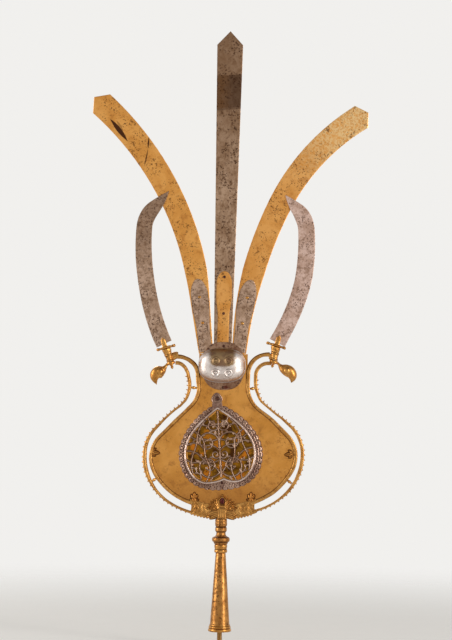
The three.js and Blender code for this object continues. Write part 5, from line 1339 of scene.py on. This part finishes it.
def roundel(x, z):
    # a ring round a stud, turned on the dome's own slope
    step, r = 0.5, roundelLook["radius"]
    slopeX = (bossRise(x + step, z) - bossRise(x - step, z)) / (2 * step)
    slopeZ = (bossRise(x, z + step) - bossRise(x, z - step)) / (2 * step)
    normal = np.array([-slopeX, -1, -slopeZ])
    normal /= np.linalg.norm(normal)
    across = np.cross([0, 0, 1], normal)
    across /= np.linalg.norm(across)
    stud = rounded([(0, 1.5), (1.0, 1.4), (1.9, 0.8), (2.5, 0.1)], 4)
    ring = [(r - 4.4, 0.0), (r - 3.4, 1.0), (r - 2.2, 1.5), (r - 1.1, 1.0), (r - 0.4, 0.2), (r + 0.2, -1.0)]
    profile = np.vstack([stud, rounded([(2.9, -0.1), *ring], 4), [(0, -1.0)]])
    angle = circle(40)
    around = np.cos(angle)[:, None] * across + np.sin(angle)[:, None] * np.cross(normal, across)
    middle = np.array([bossLook["x"] + x, -bossRise(x, z), bossLook["z"] + z])
    out = profile[:, :1]
    # the grooves are marked dark: patina with painted shade
    deep = unit(hill(out - 3.4 - 0.9 * np.sin(angle)) + hill(out - r, 0.7)) * 0.85
    return surface(middle + (out[..., None] * around + profile[:, None, 1:] * normal), deep=deep)


def makeBoss(name, face):
    # a flange and a dome in rounded oblong rings, which shrink as cos**full and rise as sin, and its seat
    look = bossLook
    w, h, foot = look["halfWidth"], look["halfHeight"], look["foot"]
    base, angle = foot + look["shell"], np.radians(np.linspace(0, 90, 40))
    share = np.cos(angle) ** look["full"]
    share[-1] = 0
    fall = -(base + look["depth"] * np.sin(angle))
    dome = np.stack([(w - look["inset"]) * share, (h - look["inset"]) * share, fall], 1)
    flange = [(0, 0, -foot), (w - 0.2, h - 0.2, -foot), (w, h, -foot - 0.3), (w - 0.3, h - 0.3, -base + 0.2)]
    # the flange and the dome's foot are marked dark: patina with painted shade
    deep = np.concatenate([[1, 1, 0.8, 0.5], unit(1 - np.arange(40) / 4) * 0.35])
    rings = superRings((look["x"], look["z"]), np.vstack([flange, dome]), look["square"], 144)
    parts = [surface(rings, deep=deep[:, None])]
    if face < 0:
        parts += [roundel(x, z) for x, z in roundelLook["at"]]
    makePiece(f"{name}BossRaised", facing(parts, face), "silvered", f"boss_{name}", sharp=50)
    w, h = seatLook["halfWidth"], seatLook["halfHeight"]
    rings = [(0, 0, -4.5), (w - 1.5, h - 1.5, -4.5), (w - 0.4, h - 0.4, -4.4), (w, h, -4.0), (w, h, -2.95)]
    part = surface(superRings((0, seatLook["z"]), [*rings, (0, 0, -2.95)], look["square"], 144))
    makePiece(f"{name}SeatPlate", facing([part], face), "seatSteel", f"boss_seat_{name}")


for name, face in faces:
    makeBoss(name, face)
print("boss made")

# Blades and langets
rootZ = shieldFoot + 331.83
bladeLooks = {  # halves are stops of (length, half width), and widest is the half width at the tip's foot
    "centre": {
        "rootX": -2, "lean": 0.6, "runs": [(616, 0)], "tip": 27.5, "halves": [(0, 17.8)], "widest": 26,
        "tangX": -2, "finish": "centreSteel", "slot": "steel", "seed": 29,
    },
    "left": {
        "rootX": 35.2, "lean": 7.3, "runs": [(122, 0), (585, -18), (614, -23.3)], "tip": 20,
        "halves": [(0, 14.4), (165, 22.4)], "widest": 25.6, "tangX": 32,
        "finish": "giltScarred", "slot": "gilt_sheet", "seed": 23,
    },
    "right": {
        "rootX": 30.8, "lean": 5.4, "runs": [(32, 0), (775, -20.4), (436, -32.2)], "tip": 16,
        "halves": [(0, 14.4), (165, 22.4)], "widest": 25.6, "tangX": 32,
        "finish": "giltBlade", "slot": "gilt_sheet", "seed": 26,
    },
}
langetLooks = {
    "centre": {
        "foot": 2, "length": 142, "root": 11, "swell": 15.6, "tip": 22, "waistAt": 80, "rivets": (79, 152),
        "seed": 31, "finish": "giltBlade", "slot": "gilt_sheet", "pin": "iron", "pinSlot": "steel",
    },
    "side": {
        "foot": 2, "length": 118, "root": 12.6, "swell": 17.4, "tip": 31, "waistAt": 55, "rivets": (60, 112),
        "seed": 41, "finish": "sideSteel", "slot": "steel", "pin": "giltCast", "pinSlot": "gilt_cast",
    },
}
rivetLook = {"head": 2.9, "rise": 1.3, "shank": 1.6}
bladeHalf = 1.1  # half the blades' thickness
langetBack = 1.42  # how far from the middle a langet's inner face lies


def bladeSurface(line, half, thick, seed, bevel=1.6):
    # a flat section between two bevels; the faces are a little uneven, and the edges a little nicked
    along, half = lengthsOf(line)[:, None], half[:, None]
    t = np.concatenate([[-1, -0.985], np.linspace(-0.945, 0.945, 13), [0.985, 1]])
    inside = unit((1 - np.abs(t)) * half / bevel)
    y = thick * (0.55 + 0.45 * inside**0.8) - 0.05 * (1 + ripple(along + 9 * t, 24, seed)) * inside
    nick = 1 - 0.006 * (1 + ripple(along, 17, seed + 1))
    left = t * half * nick
    x, z = beside(line, left)
    return twoFaced(x, -y, y, z, along=along, across=left, deep=unit(1 - inside * 3) * 0.12)


def pointed(start, heading, runs, tip):
    # runs and then a straight tip in finer steps; gives the line, its lengths and how far up the tip begins
    body, heading = runLine(start, heading, runs)
    end, _ = runLine(body[-1], heading, [(tip, 0)], 0.8)
    line = np.vstack([body, end[1:]])
    return line, lengthsOf(line), lengthsOf(body)[-1]


def langet(line, look, face):
    # a thin tongue on the blade's face, waisted above its root, with a rounded and pointed end
    length, root, swell = look["length"], look["root"], look["swell"]
    along = np.linspace(look["foot"], length + look["tip"], 90)
    path = pointsAt(lengthsOf(line), line, along)
    stops = [(look["foot"], root), (look["waistAt"], root * 1.06), (length * 0.75, swell), (length, swell)]
    share = unit((along - length) / look["tip"])
    half = np.interp(along, *zip(*stops)) * np.sqrt(unit(1 - share**1.5))
    along, half, t = along[:, None], half[:, None], np.linspace(-1, 1, 15)
    inside = unit((1 - np.abs(t)) * half / 1.6)
    y = 2.05 + 0.5 * inside**0.6 + 0.03 * ripple(along + 7 * t, 11, look["seed"])
    x, z = beside(path, t * half)
    # the edges are marked dark: painted shade where the tongue stands off the blade
    marks = {"along": along, "across": t * half, "deep": unit(1 - inside * 2) * 0.55}
    return twoFaced(x, y * face, langetBack * face, z, **marks)


def rivet(x, z, low, high):
    # a shank along Y with a low dome on each end
    look, dome = rivetLook, np.linspace(0, pi / 2, 7)
    r, out = look["head"] * np.sin(dome), look["rise"] * np.cos(dome)
    front, back = np.stack([r, low - seam - out], 1), np.stack([r, high + seam + out], 1)
    profile = np.vstack([front, [(look["shank"], low - seam), (look["shank"], high + seam)], back[::-1]])
    # the heads darken towards their rims: patina with painted shade
    r, angle, dark = profile[:, :1], circle(20), np.linspace(0, 1, 7) ** 4
    deep = np.concatenate([dark, [1, 1], dark[::-1]])
    return surface(grid(x + r * np.cos(angle), profile[:, 1:], z + r * np.sin(angle)), deep=deep[:, None])


def makeBlade(side, sign):
    # the blade on its curved line with its straight tang, a langet on each face and two pins through the pair
    look = bladeLooks[side]
    line, lengths, shoulder = pointed((look["rootX"], rootZ), 90 - look["lean"], look["runs"], look["tip"])
    half = np.interp(lengths, *zip(*look["halves"], (shoulder, look["widest"])))
    half *= unit((lengths[-1] - lengths) / look["tip"])
    tang, _ = runLine((look["tangX"], rootZ - 45), 90, [(48, 0)])
    parts = [bladeSurface(line, half, bladeHalf, look["seed"])]
    parts.append(bladeSurface(tang, np.full(len(tang), 9.5), 1.05, look["seed"] + 5))
    makePiece(f"{side}BladeForged", mirrored(parts, sign), look["finish"], f"{side}_blade")
    look = langetLooks.get(side, langetLooks["side"])
    for name, face in faces:
        parts = mirrored([langet(line, look, face)], sign)
        made = f"{side}{name.capitalize()}Tongue"
        makePiece(made, parts, look["finish"], f"{side}_langet_{name}")
    for name, (x, z) in zip(("lower", "upper"), pointsAt(lengths, line, look["rivets"])):
        parts = [rivet(sign * x, z, -2.6, 2.6)]
        made = f"{side}{name.capitalize()}Pin"
        makePiece(made, parts, look["pin"], f"{side}_langet_rivet_{name}")


def makePlainRivets():
    # two on the cartouche's leaning middle line, and one at each end of the boss's seats
    x, z, lean = cartouche["pinX"], cartouche["z"], radians(cartouche["lean"])
    loop, foot = ((x + up * sin(lean), z + up * cos(lean)) for up in cartouche["pins"])
    places = {
        "cartouche_loop_rivet": ("loopPin", loop, -4.9, 2.6),
        "cartouche_foot_rivet": ("footPin", foot, -4.9, 2.6),
        "skirt_rivet": ("skirtPin", (0, shieldFoot + 262.83), -4.5, 4.5),
        "crown_rivet": ("crownPin", (0, rootZ + 13.8), -4.5, 4.5),
    }
    for node, (name, (x, z), low, high) in places.items():
        makePiece(name, [rivet(x, z, low, high)], "iron", node)


for side, sign in (("centre", 1), *sides):
    makeBlade(side, sign)
print("blades and langets made")
makePlainRivets()

# Horn ends: hilt, pommel and sabre, in the arm's own frame with the grip along Z
armLook = {"at": (102.6, -4.0, shieldFoot + 312.83), "lean": 16.5}
gripRuns = [
    [(7.4, 3.9), (7.6, 5), (7.5, 6.4)],
    [(6.9, 6.9), (6.6, 9), (6.9, 12), (7.3, 15.5)],
    [(8.1, 16.2), (8.4, 17.6), (8.1, 19)],
    [(7.6, 19.5), (8.2, 22.5), (9.2, 26), (9.5, 30.5)],
]
guardLook = {"z": 33.5, "half": 16.8, "ball": 3.2, "knob": 3.3}
sabreLook = {
    "across": 1.5, "base": 38.4, "lean": 10.4, "runs": [(444, 30.8), (60, 43)], "tip": 62, "curve": 1.8,
    "outer": 0.3, "left": {"half": 16.5, "point": 45, "finish": "sideSteel", "seed": 61},
    "right": {"half": 17.2, "point": 38, "finish": "rightSteel", "seed": 71},
}
# the two arms aren't quite alike: each bud has its own line (out, up, radius), and pommel, guard and sabre
# root lie out and up by their own amounts
budLines = {
    "left": [
        (4, 0.5, 3.2), (6.5, -2.0, 2.7), (9.2, -4.8, 2.7), (12.1, -8.4, 3.1), (14.8, -12.0, 4.7),
        (18.2, -15.4, 8.2), (22.9, -18.6, 11.3), (28.2, -22.4, 12.7), (32.4, -27.2, 11.9), (34.0, -32.5, 9.2),
        (33.5, -37.4, 5.9), (32.1, -41.5, 3.2), (30.8, -44.6, 1.2), (30.2, -46.2, 0.3),
    ],
    "right": [
        (-1, 4.5, 3.2), (2.5, 2.6, 2.7), (5.6, 0.4, 2.5), (8.9, -2.9, 3.0), (11.9, -6.2, 5.2),
        (16.4, -9.6, 8.8), (22.8, -13.0, 11.2), (29.2, -16.6, 11.8), (33.4, -21.2, 10.9), (35.4, -26.0, 9.2),
        (35.6, -30.8, 6.7), (34.8, -34.6, 3.7), (33.8, -37.4, 1.4), (33.4, -38.4, 0.3),
    ],
}
armSway = {"left": [(2.4, -2.4), (3.2, -4.2), (3.2, -2.5)], "right": [(-2.0, 3.0), (-8.0, 3.4), (-8.6, 3.0)]}


def placed(parts, side, sign, sabre=False):
    # leaned and set at the horn's end; then swayed by a share that grows up the grip and fades up the sabre
    pommel, guard, root = np.insert(np.array(armSway[side]), 1, 0, axis=1)
    made = []
    for part in parts:
        part = movedPart(leanedPart(part, armLook["lean"]), armLook["at"])
        up = part["p"][..., 2:] - armLook["at"][2]
        share = unit(up / guardLook["z"])
        sway = root * unit((172 - up) / 125) ** 1.2 if sabre else pommel * (1 - share) + guard * share
        made.append(movedPart(part, sway))
    return mirrored(made, sign)


def gripPart():
    # rounded runs of a turned grip, with shallow flutes that lean round it
    profile, deep = reeded(gripRuns, (0, 3.9), (0, 30.6), 0.8)
    p = turned(profile, 48)
    p[..., :2] *= 0.98 + 0.02 * np.cos(8 * np.arctan2(p[..., 1], p[..., 0]) + p[..., 2] * 0.9)[..., None]
    return surface(p, deep=deep)


def guardPart():
    # along X: the bar narrows beside the grip and ends in a knob on each side
    look, angle = guardLook, circle(32)
    x = np.linspace(-1, 1, 71)[:, None] * (look["half"] + look["ball"])
    out = np.abs(x)
    knob = look["knob"] * np.sqrt(unit(1 - ((out - look["half"]) / look["ball"]) ** 2))
    bar = np.interp(out, [0, 7, 9, 12, 14, 16], [3.1, 3.1, 2.5, 2.3, 2.9, 2.0])
    halfZ = np.where(out > look["half"], knob, np.maximum(bar, knob))
    halfY = halfZ * np.interp(out, [0, 7, 9, 15], [2.0, 1.9, 1.5, 1.3])
    # darker in the bar's necks: patina with painted shade
    deep = unit(hill(out - 14.4, 0.9) + hill(out - 8.6, 1.2) * 0.7)
    y, z = halfY * soft(np.cos(angle), 0.8), look["z"] + halfZ * soft(np.sin(angle), 0.8)
    return surface(grid(x, y, z), deep=deep)


def strapPart(face):
    # the pointed strap that runs up the sabre's face from the guard
    up, t = np.linspace(31, 55.5, 30)[:, None], np.linspace(-1, 1, 11)
    half = np.interp(up, [31, 38, 46, 49.5, 55.5], [6.2, 5.0, 4.4, 4.6, 0])
    y = 1.5 + 1.5 * np.sqrt(1 - t**2) * np.interp(up, [31, 50, 55.5], [1, 0.9, 0.3])
    return twoFaced(sabreLook["across"] + t * half, y * face, langetBack * face, up)


def capParts():
    # the round cap at the grip's foot, and a nub under it in two runs
    cap = [(0, -3.6), (6.4, -3.5), (8.0, -2.4), (8.6, -0.6), (8.5, 1.0), (7.6, 2.7), (6.2, 3.5), (0, 3.6)]
    cap = rounded(cap, 4)
    lower = [(1.9, -6.4), (2.7, -7.6), (2.9, -9.2), (2.0, -11), (0.9, -12.2), (0, -12.6)]
    nub = np.vstack([rounded([(0, 2), (3.4, 1), (3.4, -4.6), (3.1, -5.6)], 3), rounded(lower, 4)])
    cap[:, 0], nub[:, 0] = cap[:, 0].clip(0, 8.6), nub[:, 0].clip(0, 3.5)
    return [surface(turned(cap, 48)), surface(turned(nub, 28))]


def budParts(side):
    # circles on a hooked line: thin neck, round head, beak; each face has a lobe with a crease of painted
    # shade
    line, angle = rounded(budLines[side], 7), circle(32)
    path, r = line[:, :2], line[:, 2:].clip(0.3, 13)
    x, z = beside(path, r * np.cos(angle))
    neck = lengthsOf(path)[:, None]
    # the neck's rings are marked dark: patina with painted shade
    deep = unit(hill(neck - 9, 1.3) * 0.5 + hill(neck - 15.5, 1.5) * 0.6)
    parts = [surface(grid(x, 0.86 * r * np.sin(angle), z), caps=True, deep=deep)]
    x, z = np.array([0.45, 0.55]) @ np.array(budLines[side])[6:8, :2]
    for _, face in faces:
        lobe = ball((x - 1.6, face * 4.4, z + 0.4), 8.0, 0.92, 28, 19)
        lobe["marks"]["deep"] = unit(1 - (np.abs(lobe["p"][..., 1]) - 8.0) / 2.4) * 0.8
        parts.append(lobe)
    return [movedPart(part, armLook["at"]) for part in parts]


def sabrePart(side):
    # towards the point the width falls as 1 - u**curve, with u the share of the tip's length gone, mostly on
    # the inner edge
    look, own = sabreLook, sabreLook[side]
    start = (look["across"], look["base"])
    line, lengths, _ = pointed(start, 90 - look["lean"], look["runs"], own["point"])
    whole = own["half"] * np.interp(lengths, [0, 180, 300], [1, 1, 0.93])
    half = whole * (1 - unit(1 - (lengths[-1] - lengths) / look["tip"]) ** look["curve"])
    line = line - leftOf(line) * (look["outer"] * (whole - half))[:, None]
    keep = lengths > 0.4
    return bladeSurface(line[keep], half[keep], bladeHalf, own["seed"], bevel=2.4)


def makeArm(side, sign):
    # the hilt with its guard and straps, the pommel with its bud, and the sabre
    parts = placed([gripPart(), guardPart(), strapPart(-1), strapPart(1)], side, sign)
    makePiece(f"{side}HiltCast", parts, "giltCast", f"{side}_hilt")
    parts = placed(capParts(), side, sign) + mirrored(budParts(side), sign)
    makePiece(f"{side}PommelCast", parts, "giltCast", f"{side}_pommel")
    parts = placed([sabrePart(side)], side, sign, sabre=True)
    makePiece(f"{side}SabreForged", parts, sabreLook[side]["finish"], f"{side}_sabre")


for side, sign in sides:
    makeArm(side, sign)
print("horn ends made")

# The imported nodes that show, or that could
kept = {
    "front_sheet": "giltSheet", "back_sheet": "giltSheet", "cartouche_backing": "olive", "spine": "iron",
    "left_tang_rivet": "iron", "centre_tang_rivet": "iron", "right_tang_rivet": "iron",
}
for node, finish in kept.items():
    nodes[node].data.materials.clear()
    nodes[node].data.materials.append(finishes[finish])
left = sorted(n for n, o in nodes.items() if not o.hide_render and n not in kept)
print("packed nodes with no finish:", left)
